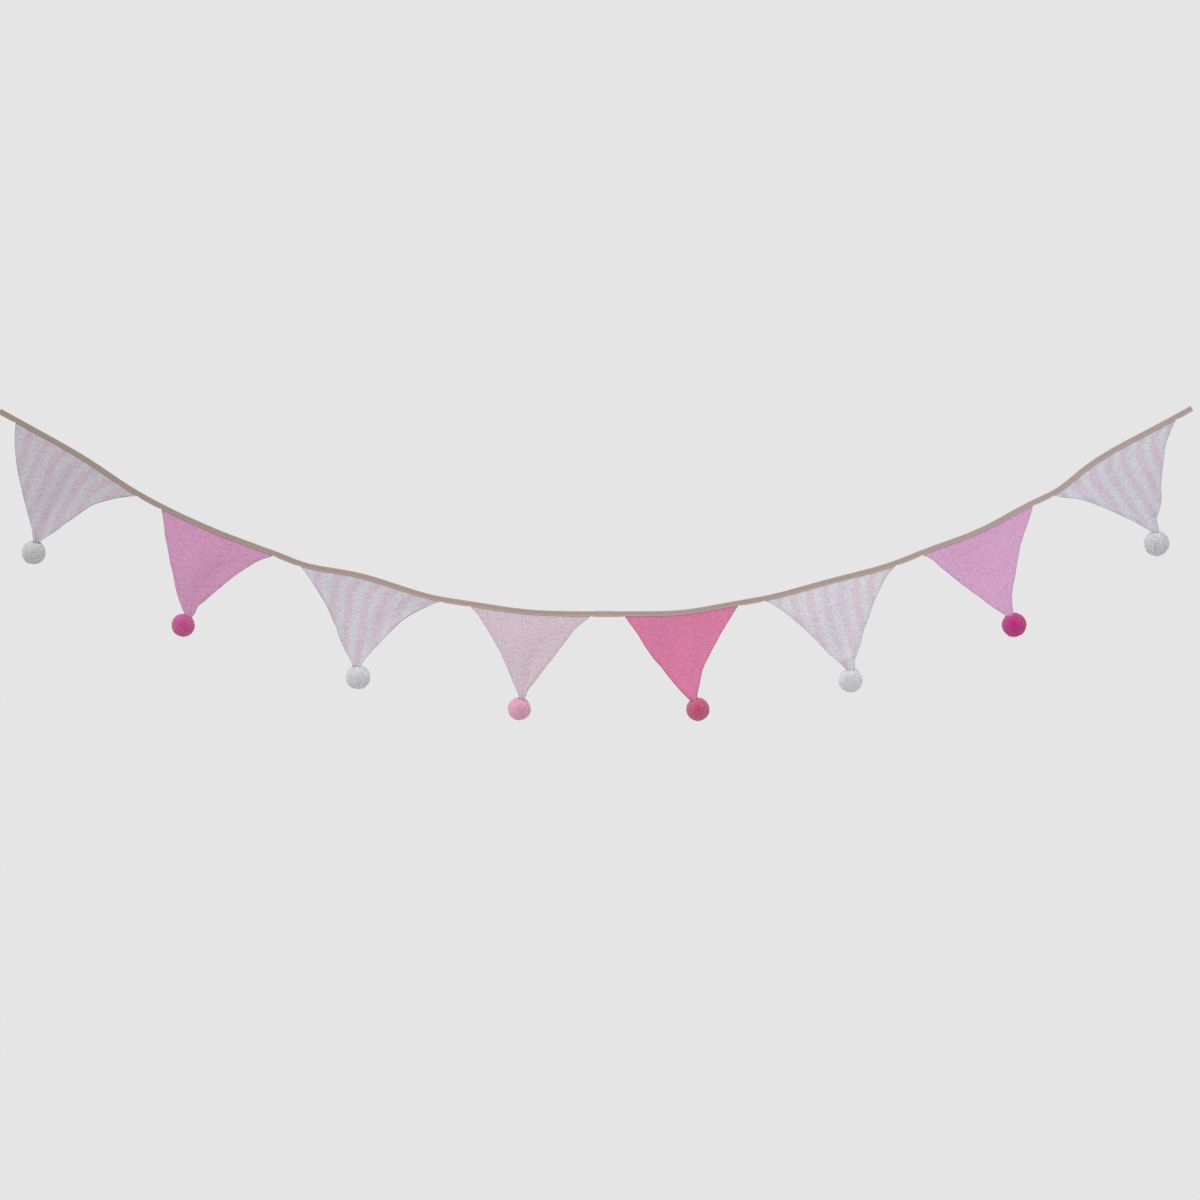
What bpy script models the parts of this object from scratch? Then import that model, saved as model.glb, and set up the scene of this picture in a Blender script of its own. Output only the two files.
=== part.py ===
"""Fabric bunting hung in a swag: eight pennants in one folded tape, with a yarn pompom on every tip.

Metres, +Z up. X runs along the bunting, -Y is its front, and the origin lies on the tape's top edge
in the middle of the swag. Every pennant is one thin sheet whose upper edge is held inside the tape
and whose narrow foot is held in the pile of its pompom.
"""
import math
from typing import NamedTuple

import bmesh
import bpy
from mathutils import Vector

GAP = 0.0003                # clearance between two pieces that touch

TAPE_HEIGHT = 0.0080        # folded tape, from its lower edges to its fold
TAPE_CLOSED = 0.0024        # thickness where it closes on itself
TAPE_OVER_CLOTH = 0.0038    # thickness where it closes over a pennant
TAPE_SWELL = 0.0100         # run over which it thickens towards a pennant's corner
TAPE_TAIL = 0.0280          # bare length past each outermost corner
TAPE_STEP = 0.0150          # widest spacing of its cross-sections
TAPE_SIDES = 8              # corners of one cross-section
TAPE_SECTION = ((-0.50, 0.00), (-0.50, 0.62), (-0.42, 0.86), (-0.16, 1.00),
                (0.16, 1.00), (0.42, 0.86), (0.50, 0.62), (0.50, 0.00))   # shares of depth and height

CLOTH = 0.0012              # one layer of the crinkled cloth
HEM = 0.0018                # the cloth turned over along both sides
HEM_WIDTH = 0.0040
TUCK = 0.0055               # cloth held inside the tape
NECK_WIDTH = 0.0104         # foot of a pennant where it meets its pompom
NECK_DRAWN = 0.70           # share of that width left at its very end
FOLD_ENDS = 1.5             # how softly a fold runs out at its two ends
COLUMNS = 12                # faces across a pennant
ROWS = 11                   # faces down a pennant, from the tape's edge to the neck

PILE_ROOT = 0.72            # radius at which the locks of yarn are joined, as a share of the ball's
LOCK_HEAD = 0.80            # width of a lock's head, as a share of its even share of the ball
LOCK_SHOULDER = 0.965       # radius of the corners of a lock's head, as a share of the ball's
LOCK_UNEVEN = 0.025         # how far the locks differ in length
LOCK_TURN = 2.4             # steps, in radians, by which their lengths vary from lock to lock
BALL_TURN = 1.7             # and from ball to ball
BALL_BEHIND = 0.0060        # how far a ball's centre lies behind the neck that it is sewn to
NECK_OUTSIDE_ROOT = 0.0012  # how far outside the root of the locks a pennant ends

SPLINE_STEPS = 24           # points between two stations of the tape's route


class Pennant(NamedTuple):
    """Where one pennant hangs. Angles are in degrees below level, towards its middle."""
    left_x: float           # left corner, on the tape's lower edge
    left_z: float
    right_x: float          # right corner
    right_z: float
    tape_rise: float        # how far the tape arches (+) or sags (-) between the two corners
    rise_at: float          # where it does so most, as a share of the way from the left corner
    left_leaves: float      # angle at which the left side leaves its corner
    left_arrives: float     # angle at which it reaches the neck
    right_leaves: float
    right_arrives: float
    neck_x: float           # middle of the neck, where it enters the pile
    neck_z: float
    neck_y: float
    billow: float           # how far the cloth's middle stands back (+) or forward (-)
    ball_x: float           # centre of the pompom
    ball_z: float
    ball_diameter: float


PENNANTS = (
    Pennant(-0.818, 0.263, -0.649, 0.161, 0.0032, 0.50, 98, 80, -3, 35,
            -0.788, 0.100, -0.0030, 0.0050, -0.793, 0.0825, 0.0338),
    Pennant(-0.614, 0.142, -0.458, 0.077, -0.0030, 0.50, 78, 62, 19, 54,
            -0.575, -0.006, 0.0020, -0.0045, -0.584, -0.0195, 0.0328),
    Pennant(-0.419, 0.062, -0.225, 0.013, 0.0042, 0.40, 48, 62, 16, 52,
            -0.341, -0.076, -0.0015, 0.0055, -0.339, -0.0920, 0.0348),
    Pennant(-0.181, 0.006, -0.014, -0.008, -0.0045, 0.50, 48, 65, 40, 60,
            -0.108, -0.119, 0.0025, -0.0040, -0.113, -0.1365, 0.0324),
    Pennant(0.035, -0.008, 0.193, 0.007, -0.0055, 0.50, 57, 44, 57, 86,
            0.131, -0.124, -0.0010, 0.0060, 0.137, -0.1373, 0.0330),
    Pennant(0.232, 0.014, 0.414, 0.063, -0.0005, 0.50, 22, 38, 49, 80,
            0.351, -0.081, 0.0020, -0.0050, 0.351, -0.0966, 0.0342),
    Pennant(0.452, 0.078, 0.606, 0.147, -0.0050, 0.50, 29, 29, 75, 97,
            0.573, -0.005, -0.0025, 0.0045, 0.580, -0.0190, 0.0346),
    Pennant(0.637, 0.162, 0.806, 0.267, 0.0062, 0.34, 3, 32, 64, 87,
            0.777, 0.112, 0.0015, -0.0050, 0.780, 0.0951, 0.0360),
)


class Fold(NamedTuple):
    """One soft fold that runs down a pennant and narrows with it."""
    pennant: int            # number of the pennant, from the left
    across: float           # place of its crest, as a share of the width from the left side
    width: float            # share of the width from the crest to where it has mostly died away
    top: float              # where it starts and ends, as shares of the way down
    foot: float
    lift: float             # height of its crest to the back (+) or to the front (-)


FOLDS = (
    Fold(1, 0.30, 0.16, 0.05, 0.95, -0.0040),
    Fold(1, 0.62, 0.13, 0.10, 0.90, 0.0030),
    Fold(1, 1.00, 0.12, 0.02, 0.45, -0.0055),
    Fold(2, 0.38, 0.15, 0.08, 0.95, -0.0035),
    Fold(2, 0.74, 0.14, 0.05, 0.80, 0.0040),
    Fold(3, 0.22, 0.14, 0.05, 0.90, 0.0030),
    Fold(3, 0.52, 0.15, 0.10, 1.00, -0.0045),
    Fold(3, 0.85, 0.12, 0.02, 0.60, 0.0035),
    Fold(4, 0.33, 0.14, 0.06, 0.95, -0.0030),
    Fold(4, 0.68, 0.16, 0.10, 0.95, 0.0035),
    Fold(5, 0.27, 0.15, 0.05, 0.85, 0.0035),
    Fold(5, 0.60, 0.14, 0.12, 1.00, -0.0040),
    Fold(6, 0.20, 0.13, 0.03, 0.70, -0.0035),
    Fold(6, 0.55, 0.16, 0.10, 0.95, 0.0040),
    Fold(6, 0.50, 0.80, 0.80, 0.96, -0.0022),
    Fold(7, 0.30, 0.15, 0.06, 0.80, 0.0035),
    Fold(7, 0.66, 0.14, 0.08, 0.95, -0.0035),
    Fold(8, 0.42, 0.15, 0.08, 0.95, 0.0040),
    Fold(8, 0.72, 0.13, 0.05, 0.90, -0.0030),
    Fold(8, 0.00, 0.12, 0.02, 0.45, -0.0050),
)


class Finish(NamedTuple):
    """A piece's plain colour."""
    name: str
    colour: tuple
    roughness: float


TAPE_FINISH = Finish("tape_taupe", (0.36, 0.29, 0.24, 1.0), 0.90)
STRIPED = Finish("cloth_striped", (0.60, 0.53, 0.60, 1.0), 0.95)
ORCHID = Finish("cloth_orchid", (0.58, 0.29, 0.46, 1.0), 0.95)
PALE_PINK = Finish("cloth_pale_pink", (0.61, 0.50, 0.56, 1.0), 0.95)
ROSE = Finish("cloth_rose", (0.65, 0.21, 0.36, 1.0), 0.95)
WHITE_YARN = Finish("yarn_white", (0.56, 0.56, 0.57, 1.0), 1.0)
MAGENTA_YARN = Finish("yarn_magenta", (0.46, 0.08, 0.22, 1.0), 1.0)
PINK_YARN = Finish("yarn_pink", (0.62, 0.33, 0.44, 1.0), 1.0)
ROSE_YARN = Finish("yarn_rose", (0.50, 0.11, 0.20, 1.0), 1.0)

CLOTH_FINISHES = (STRIPED, ORCHID, STRIPED, PALE_PINK, ROSE, STRIPED, ORCHID, STRIPED)
YARN_FINISHES = (WHITE_YARN, MAGENTA_YARN, WHITE_YARN, PINK_YARN,
                 ROSE_YARN, WHITE_YARN, MAGENTA_YARN, WHITE_YARN)


def clear_scene():
    """Remove every object that the scene starts with."""
    for obj in list(bpy.data.objects):
        bpy.data.objects.remove(obj, do_unlink=True)


def new_collection(name):
    """Make a collection in the scene."""
    collection = bpy.data.collections.new(name)
    bpy.context.scene.collection.children.link(collection)
    return collection


def material(finish):
    """A Principled material in the piece's colour, made once."""
    if finish.name in bpy.data.materials:
        return bpy.data.materials[finish.name]
    made = bpy.data.materials.new(finish.name)
    made.use_nodes = True
    shader = made.node_tree.nodes["Principled BSDF"]
    shader.inputs["Base Color"].default_value = finish.colour
    shader.inputs["Roughness"].default_value = finish.roughness
    shader.inputs["Metallic"].default_value = 0.0
    return made


def add_object(name, mesh_data, finish, collection, place, parent):
    """Put a bmesh in the scene as one smooth-shaded object with its own material."""
    mesh = bpy.data.meshes.new(name)
    mesh_data.to_mesh(mesh)
    mesh_data.free()
    mesh.shade_smooth()
    if finish is not None:
        mesh.materials.append(material(finish))
    obj = bpy.data.objects.new(name, mesh)
    obj.location = place
    obj.parent = parent
    collection.objects.link(obj)
    return obj


class Route:
    """The tape's lower edge: a smooth line in the XZ plane through the pennants' corners."""

    def __init__(self, pennants):
        stations = []
        for pennant in pennants:
            left = Vector((pennant.left_x, 0.0, pennant.left_z))
            right = Vector((pennant.right_x, 0.0, pennant.right_z))
            up = Vector((left.z - right.z, 0.0, right.x - left.x)).normalized()
            stations += [left, left.lerp(right, pennant.rise_at) + up * pennant.tape_rise, right]
        first = stations[0] + (stations[0] - stations[1]).normalized() * TAPE_TAIL
        last = stations[-1] + (stations[-1] - stations[-2]).normalized() * TAPE_TAIL
        stations = [first] + stations + [last]
        slopes = self.slopes_at(stations)
        self.points = [stations[0]]
        self.lengths = [0.0]
        station_lengths = [0.0]
        for start, end, leave, arrive in zip(stations, stations[1:], slopes, slopes[1:]):
            chord = (end - start).length
            for step in range(1, SPLINE_STEPS + 1):
                t = step / SPLINE_STEPS
                point = (start * (2 * t**3 - 3 * t**2 + 1) + end * (3 * t**2 - 2 * t**3)
                         + leave * chord * (t**3 - 2 * t**2 + t) + arrive * chord * (t**3 - t**2))
                self.lengths.append(self.lengths[-1] + (point - self.points[-1]).length)
                self.points.append(point)
            station_lengths.append(self.lengths[-1])
        self.length = self.lengths[-1]
        self.corners = [(station_lengths[3 * i + 1], station_lengths[3 * i + 3])
                        for i in range(len(pennants))]

    @staticmethod
    def slopes_at(stations):
        """Unit directions of the route at its stations, weighted towards the nearer neighbour."""
        slopes = [(stations[1] - stations[0]).normalized()]
        for before, here, after in zip(stations, stations[1:], stations[2:]):
            back, ahead = here - before, after - here
            weighted = back.normalized() / back.length + ahead.normalized() / ahead.length
            slopes.append(weighted.normalized())
        slopes.append((stations[-1] - stations[-2]).normalized())
        return slopes

    def at(self, length):
        """Point, direction and upward normal at a length along the route."""
        length = min(max(length, 0.0), self.length)
        i = next(k for k in range(1, len(self.lengths)) if self.lengths[k] >= length)
        span = self.lengths[i] - self.lengths[i - 1]
        share = (length - self.lengths[i - 1]) / span
        point = self.points[i - 1].lerp(self.points[i], share)
        ahead = self.points[min(i + 1, len(self.points) - 1)] - self.points[max(i - 2, 0)]
        along = ahead.normalized()
        return point, along, Vector((-along.z, 0.0, along.x))

    def top_edge_over(self, x):
        """Height of the tape's upper edge at one place along the bunting."""
        nearest = min(range(len(self.points)), key=lambda k: abs(self.points[k].x - x))
        return self.points[nearest].z + TAPE_HEIGHT


def smooth_step(value):
    """Ease from 0 to 1."""
    value = min(max(value, 0.0), 1.0)
    return value * value * (3 - 2 * value)


def bell(value, width):
    """Height of a soft ridge of unit height at a distance from its crest."""
    return math.exp(-(value / width) ** 2)


def tape_thickness(route, length):
    """The tape is thicker where a pennant is inside it."""
    inside = 0.0
    for left, right in route.corners:
        entering = smooth_step((length - left + TAPE_SWELL) / TAPE_SWELL)
        leaving = smooth_step((right + TAPE_SWELL - length) / TAPE_SWELL)
        inside = max(inside, entering * leaving)
    return TAPE_CLOSED + (TAPE_OVER_CLOTH - TAPE_CLOSED) * inside


def even_steps(start, end):
    """Lengths from one place of the tape to another, in even steps, without the last."""
    steps = max(1, math.ceil((end - start) / TAPE_STEP))
    return [start + (end - start) * step / steps for step in range(steps)]


def tape_stations(route):
    """Lengths at which the tape has a cross-section, its swells and the pennants' corners among them."""
    places = [0.0]
    for left, right in route.corners:
        places += [left - TAPE_SWELL, left, right, right + TAPE_SWELL]
    places.append(route.length)
    stations = []
    for start, end in zip(places, places[1:]):
        stations += even_steps(start, end)
    return stations + [route.length]


def tape_mesh(route):
    """A capped prism, divided along its length and laid along the route."""
    stations = tape_stations(route)
    spans = len(stations) - 1
    made = bmesh.new()
    bmesh.ops.create_cone(made, cap_ends=True, segments=TAPE_SIDES, radius1=1.0, radius2=1.0, depth=1.0)
    lengthwise = [edge for edge in made.edges if abs(edge.verts[0].co.z - edge.verts[1].co.z) > 0.5]
    bmesh.ops.subdivide_edges(made, edges=lengthwise, cuts=spans - 1, use_grid_fill=True)
    for vert in made.verts:
        turn = math.atan2(vert.co.y, vert.co.x) % (2 * math.pi)
        corner = round(turn / (2 * math.pi) * TAPE_SIDES) % TAPE_SIDES
        length = stations[round((vert.co.z + 0.5) * spans)]
        point, _, up = route.at(length)
        depth, height = TAPE_SECTION[corner]
        vert.co = point + up * (height * TAPE_HEIGHT)
        vert.co.y = depth * tape_thickness(route, length)
    bmesh.ops.recalc_face_normals(made, faces=made.faces)
    return made


def side_curve(corner, neck, leaves, arrives, inward, share):
    """Point on one side of a pennant, a cubic curve that leaves and arrives at the given angles."""
    reach = (neck - corner).length / 3
    leaving = Vector((inward * math.cos(math.radians(leaves)), 0.0, -math.sin(math.radians(leaves))))
    arriving = Vector((inward * math.cos(math.radians(arrives)), 0.0, -math.sin(math.radians(arrives))))
    first, second = corner + leaving * reach, neck - arriving * reach
    rest = 1 - share
    return (corner * rest**3 + first * (3 * rest**2 * share)
            + second * (3 * rest * share**2) + neck * share**3)


def fold_depth(number, across, down):
    """How far the folds of a pennant push its cloth forward or back at one place."""
    depth = 0.0
    for fold in FOLDS:
        if fold.pennant == number and fold.top < down < fold.foot:
            run = math.sin(math.pi * (down - fold.top) / (fold.foot - fold.top))
            depth += fold.lift * run**FOLD_ENDS * bell(across - fold.across, fold.width)
    return depth


def ball_centre(pennant):
    """Centre of a pennant's pompom."""
    return Vector((pennant.ball_x, pennant.neck_y + BALL_BEHIND, pennant.ball_z))


def neck_end(pennant):
    """Middle of the pennant's very end, in the pile just outside the root of the locks."""
    centre = ball_centre(pennant)
    neck = Vector((pennant.neck_x, pennant.neck_y, pennant.neck_z))
    outward = (neck - centre).normalized()
    return centre + outward * (pennant.ball_diameter / 2 * PILE_ROOT + NECK_OUTSIDE_ROOT)


def cloth_point(route, number, across, down, grow):
    """Point of the pennant's middle surface, by its shares of the width and of the way down."""
    pennant = PENNANTS[number - 1]
    left_length, right_length = route.corners[number - 1]
    top_left, top_right = route.at(left_length)[0], route.at(right_length)[0]
    half_neck = Vector((NECK_WIDTH / 2, 0.0, 0.0))
    neck = Vector((pennant.neck_x, 0.0, pennant.neck_z))
    left = side_curve(top_left, neck - half_neck, pennant.left_leaves, pennant.left_arrives, 1, down)
    right = side_curve(top_right, neck + half_neck, pennant.right_leaves, pennant.right_arrives, -1, down)
    hem_share = min(HEM_WIDTH / (right - left).length, 1 / COLUMNS)
    inner = (across - 1 / COLUMNS) / (1 - 2 / COLUMNS)
    share = hem_share + (1 - 2 * hem_share) * inner
    if across == 0.0:
        share = -grow / (right - left).length
    elif across == 1.0:
        share = 1 + grow / (right - left).length
    on_tape = route.at(left_length + (right_length - left_length) * share)[0]
    arch = on_tape - top_left.lerp(top_right, share)
    point = left.lerp(right, share) + arch * (1 - down)
    billow = pennant.billow * math.sin(math.pi * down) * math.sin(math.pi * across)
    point.y = pennant.neck_y * down + billow + fold_depth(number, across, down)
    return point


def cloth_mesh(route, number, grow):
    """A grid laid over the pennant: a row in the tape, rows down to the neck and a row in the pile."""
    pennant = PENNANTS[number - 1]
    left_length, right_length = route.corners[number - 1]
    rows_in_all = ROWS + 2
    made = bmesh.new()
    bmesh.ops.create_grid(made, x_segments=COLUMNS, y_segments=rows_in_all, size=0.5)
    hem = made.verts.layers.deform.verify()
    end = neck_end(pennant)
    for vert in made.verts:
        column = round((vert.co.x + 0.5) * COLUMNS)
        row = round((0.5 - vert.co.y) * rows_in_all)
        across = column / COLUMNS
        on_edge = column in (0, COLUMNS)
        if row == 0:
            point = cloth_point(route, number, across, 0.0, grow)
            share = (point - route.at(left_length)[0]).length / (right_length - left_length)
            up = route.at(left_length + (right_length - left_length) * share)[2]
            vert.co = point + up * (TUCK + grow)
        elif row == rows_in_all:
            foot = cloth_point(route, number, across, 1.0, grow)
            neck = Vector((pennant.neck_x, pennant.neck_y, pennant.neck_z))
            drawn = Vector(((foot.x - neck.x) * NECK_DRAWN, 0.0, 0.0))
            vert.co = end + drawn + (end - neck).normalized() * grow
        else:
            vert.co = cloth_point(route, number, across, (row - 1) / ROWS, grow)
        vert[hem][0] = 1.0 if on_edge or row == rows_in_all else 0.0
    bmesh.ops.reverse_faces(made, faces=made.faces)
    return made


def add_cloth(name, route, number, grow, finish, collection, parent):
    """A pennant, or with some growth the room that it needs, as a sheet given its thickness."""
    pennant = PENNANTS[number - 1]
    mesh_data = cloth_mesh(route, number, grow)
    place = Vector(((pennant.left_x + pennant.right_x) / 2, 0.0, (pennant.left_z + pennant.right_z) / 2))
    bmesh.ops.translate(mesh_data, verts=mesh_data.verts, vec=-place)
    sheet = add_object(name, mesh_data, finish, collection, place, parent)
    sheet.vertex_groups.new(name="hem")
    thicken = sheet.modifiers.new("cloth thickness", "SOLIDIFY")
    thicken.thickness = HEM + 2 * grow
    thicken.offset = 0.0
    thicken.vertex_group = "hem"
    thicken.thickness_vertex_group = (CLOTH + 2 * grow) / (HEM + 2 * grow)
    return sheet


def pompom_mesh(number, radius):
    """Thirty like locks of yarn standing on a core, each a four-sided spike with a crowned head."""
    made = bmesh.new()
    bmesh.ops.create_icosphere(made, subdivisions=1, radius=1.0)
    corners = list(made.edges)
    bmesh.ops.poke(made, faces=made.faces)
    bmesh.ops.dissolve_edges(made, edges=corners, use_verts=False)
    for vert in made.verts:
        vert.co = vert.co.normalized() * radius * PILE_ROOT
    heads = bmesh.ops.extrude_discrete_faces(made, faces=made.faces)["faces"]
    reaches = {}
    for index, head in enumerate(heads):
        centre = head.calc_center_median()
        shorter = (1 + math.sin(LOCK_TURN * index + BALL_TURN * number)) / 2
        reach = radius * (1 - LOCK_UNEVEN * shorter)
        for vert in head.verts:
            narrowed = centre + (vert.co - centre) * LOCK_HEAD
            vert.co = narrowed.normalized() * reach * LOCK_SHOULDER
        reaches[tuple(head.calc_center_median().normalized())] = reach
    crowns = bmesh.ops.poke(made, faces=heads)["verts"]
    for crown in crowns:
        outward = crown.co.normalized()
        nearest = max(reaches, key=lambda direction: outward.dot(Vector(direction)))
        crown.co = outward * reaches[nearest]
    return made


def cut(obj, cutter):
    """Cut one piece's room out of another."""
    boolean = obj.modifiers.new("room for " + cutter.name, "BOOLEAN")
    boolean.operation = "DIFFERENCE"
    boolean.solver = "EXACT"
    boolean.object = cutter


def build():
    """Make the tape, the pennants and their pompoms."""
    clear_scene()
    parts = new_collection("fabric_bunting")
    cutters = new_collection("cutters")
    hanging = bpy.data.objects.new("bunting_origin", None)
    parts.objects.link(hanging)
    route = Route(PENNANTS)
    hanging.location.z = -route.top_edge_over(0.0)
    tape = add_object("header_tape", tape_mesh(route), TAPE_FINISH, parts, Vector(), hanging)
    for number, pennant in enumerate(PENNANTS, start=1):
        add_cloth(f"flag_{number}", route, number, 0.0, CLOTH_FINISHES[number - 1], parts, hanging)
        room = add_cloth(f"room_{number}", route, number, GAP, None, cutters, hanging)
        room.hide_render = True
        room.display_type = "WIRE"
        ball = pompom_mesh(number, pennant.ball_diameter / 2)
        pompom = add_object(f"pompom_{number}", ball, YARN_FINISHES[number - 1], parts,
                            ball_centre(pennant), hanging)
        cut(tape, room)
        cut(pompom, room)
    bpy.context.view_layer.update()


build()
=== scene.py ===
"""Looks of the fabric bunting: crinkled cotton pennants, a folded and sewn tape, and yarn pompoms.

Metres, +Z up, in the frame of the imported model: X runs along the bunting and -Y is its front. Every
piece lies where the model's own solid lies, and replaces it.
"""
import logging
import math
import random
from bisect import bisect_left
from dataclasses import dataclass, field
from enum import Enum
from typing import Callable, Dict, List, Sequence, Tuple

import bmesh
import bpy
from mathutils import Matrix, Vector, kdtree, noise


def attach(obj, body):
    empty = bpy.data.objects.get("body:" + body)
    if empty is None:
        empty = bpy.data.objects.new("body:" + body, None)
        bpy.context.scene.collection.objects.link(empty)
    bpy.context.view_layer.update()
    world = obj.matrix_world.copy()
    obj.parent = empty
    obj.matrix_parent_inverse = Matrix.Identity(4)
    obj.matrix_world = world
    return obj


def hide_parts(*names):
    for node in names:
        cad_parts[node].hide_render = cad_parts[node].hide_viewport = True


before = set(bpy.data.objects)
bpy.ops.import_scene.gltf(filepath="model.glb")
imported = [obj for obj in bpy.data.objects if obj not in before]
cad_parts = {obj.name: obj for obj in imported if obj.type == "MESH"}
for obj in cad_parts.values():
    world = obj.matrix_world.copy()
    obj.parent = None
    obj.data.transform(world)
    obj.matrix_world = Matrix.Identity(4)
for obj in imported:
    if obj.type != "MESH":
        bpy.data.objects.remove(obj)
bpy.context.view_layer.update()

BODY = "root"
LOG = logging.getLogger("bunting")

Colour = Tuple[float, float, float]


def srgb(red: int, green: int, blue: int) -> Colour:
    """Turn a colour as a screen shows it, 0 to 255, into linear light.

    Args:
        red: Red, 0 to 255.
        green: Green, 0 to 255.
        blue: Blue, 0 to 255.

    Returns:
        The same colour in linear light, 0 to 1.
    """
    def linear(value: int) -> float:
        """Linear light of one channel."""
        share = value / 255
        return share / 12.92 if share <= 0.04045 else ((share + 0.055) / 1.055) ** 2.4
    return linear(red), linear(green), linear(blue)


def smooth_step(value: float) -> float:
    """Ease from 0 to 1."""
    value = min(max(value, 0.0), 1.0)
    return value * value * (3 - 2 * value)


def bell(value: float, width: float) -> float:
    """Height of a soft ridge of unit height at a distance from its crest."""
    return math.exp(-(value / width) ** 2)


def ripple(x: float, y: float, seed: float) -> float:
    """Smooth noise from -1 to 1 over a plane, another one for each seed."""
    return noise.noise(Vector((x, y, seed)))


class Pattern(Enum):
    """How a pennant's cloth is coloured."""
    PLAIN = "plain"
    STRIPED = "striped"


class Face(Enum):
    """The two faces of a sheet."""
    FRONT = -1
    BACK = 1


class Paint:
    """One material, with short calls for the nodes that colour and roughen it."""

    def __init__(self, name: str, roughness: float, sheen: float, specular: float) -> None:
        """Start a Principled material.

        Args:
            name: Name of the material.
            roughness: Roughness of the whole surface.
            sheen: Weight of its fuzz.
            specular: Specular level of the whole surface.
        """
        self.material = bpy.data.materials.new(name)
        self.material.use_nodes = True
        self.tree = self.material.node_tree
        self.shader = self.tree.nodes["Principled BSDF"]
        self.shader.inputs["Roughness"].default_value = roughness
        self.shader.inputs["Specular IOR Level"].default_value = specular
        self.shader.inputs["Sheen Weight"].default_value = sheen
        self.shader.inputs["Sheen Roughness"].default_value = 0.5

    def node(self, kind: str, **settings: object) -> bpy.types.Node:
        """Add a node.

        Args:
            kind: Its type, as Blender names it.
            settings: Values for its own properties.

        Returns:
            The new node.
        """
        made = self.tree.nodes.new(kind)
        for name, value in settings.items():
            setattr(made, name, value)
        return made

    def feed(self, socket: bpy.types.NodeSocket, value: object) -> None:
        """Link a socket to another one, or set it to a plain value.

        Args:
            socket: The socket that is fed.
            value: Another socket, a number or a list of numbers.
        """
        if isinstance(value, bpy.types.NodeSocket):
            self.tree.links.new(value, socket)
        else:
            socket.default_value = value

    def math(self, operation: str, *values: object) -> bpy.types.NodeSocket:
        """One step of arithmetic.

        Args:
            operation: Name of the step, as Blender gives it.
            values: Sockets or numbers, up to three.

        Returns:
            The socket that holds the result.
        """
        made = self.node("ShaderNodeMath", operation=operation)
        for socket, value in zip(made.inputs, values):
            self.feed(socket, value)
        return made.outputs[0]

    def span(self, value: bpy.types.NodeSocket, start: float, end: float, low: float,
             high: float) -> bpy.types.NodeSocket:
        """Carry one range of values smoothly to another.

        Args:
            value: Socket that is carried over.
            start: Value that becomes low.
            end: Value that becomes high.
            low: First end of the new range.
            high: Other end of the new range.

        Returns:
            The socket that holds the result.
        """
        made = self.node("ShaderNodeMapRange", interpolation_type="SMOOTHSTEP")
        for name, entry in (("Value", value), ("From Min", start), ("From Max", end),
                            ("To Min", low), ("To Max", high)):
            self.feed(made.inputs[name], entry)
        return made.outputs["Result"]

    def attribute(self, name: str) -> bpy.types.NodeSocket:
        """A number that the mesh keeps at each of its points."""
        return self.node("ShaderNodeAttribute", attribute_name=name).outputs["Fac"]

    def place(self, uv_map: str) -> bpy.types.NodeSocket:
        """The place on the cloth in metres, from a UV map."""
        return self.node("ShaderNodeUVMap", uv_map=uv_map).outputs["UV"]

    def object_place(self) -> bpy.types.NodeSocket:
        """The place in the object, in metres."""
        return self.node("ShaderNodeTexCoord").outputs["Object"]

    def grain(self, place: bpy.types.NodeSocket, across: float, along: float,
              detail: float = 2.0) -> bpy.types.NodeSocket:
        """Soft noise from 0 to 1 whose blots have the given sizes.

        Args:
            place: Where on the surface.
            across: Size of a blot along the first axis, in metres.
            along: Its size along the second axis.
            detail: How many finer layers it has.

        Returns:
            The noise.
        """
        turned = self.node("ShaderNodeMapping")
        turned.inputs["Scale"].default_value = (1 / across, 1 / along, 1 / across)
        self.feed(turned.inputs["Vector"], place)
        made = self.node("ShaderNodeTexNoise")
        made.inputs["Scale"].default_value = 1.0
        made.inputs["Detail"].default_value = detail
        self.feed(made.inputs["Vector"], turned.outputs["Vector"])
        return made.outputs["Fac"]

    def blend(self, share: object, first: object, second: object) -> bpy.types.NodeSocket:
        """Mix two colours.

        Args:
            share: Share of the second one.
            first: Colour or socket.
            second: Colour or socket.

        Returns:
            The mixed colour.
        """
        made = self.node("ShaderNodeMix", data_type="RGBA")
        self.feed(made.inputs[0], share)
        for index, colour in ((6, first), (7, second)):
            linked = isinstance(colour, bpy.types.NodeSocket)
            self.feed(made.inputs[index], colour if linked else (*colour, 1.0))
        return made.outputs[2]

    def shaded(self, colour: bpy.types.NodeSocket,
               tone: bpy.types.NodeSocket) -> bpy.types.NodeSocket:
        """Lighten or darken a colour.

        Args:
            colour: The colour.
            tone: The factor.

        Returns:
            The changed colour.
        """
        made = self.node("ShaderNodeVectorMath", operation="SCALE")
        self.feed(made.inputs[0], colour)
        self.feed(made.inputs["Scale"], tone)
        return made.outputs[0]

    def relief(self, height: bpy.types.NodeSocket, depth: float, strength: float) -> None:
        """Raise the surface where height is large, on top of any earlier relief.

        Args:
            height: Height from 0 to 1.
            depth: What a height of 1 stands for, in metres.
            strength: How much of it shows.
        """
        made = self.node("ShaderNodeBump")
        made.inputs["Strength"].default_value = strength
        made.inputs["Distance"].default_value = depth
        self.feed(made.inputs["Height"], height)
        normal = self.shader.inputs["Normal"]
        if normal.is_linked:
            self.feed(made.inputs["Normal"], normal.links[0].from_socket)
        self.feed(normal, made.outputs["Normal"])

    def finish(self, colour: bpy.types.NodeSocket) -> bpy.types.Material:
        """Give the shader its colour."""
        self.feed(self.shader.inputs["Base Color"], colour)
        return self.material


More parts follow.
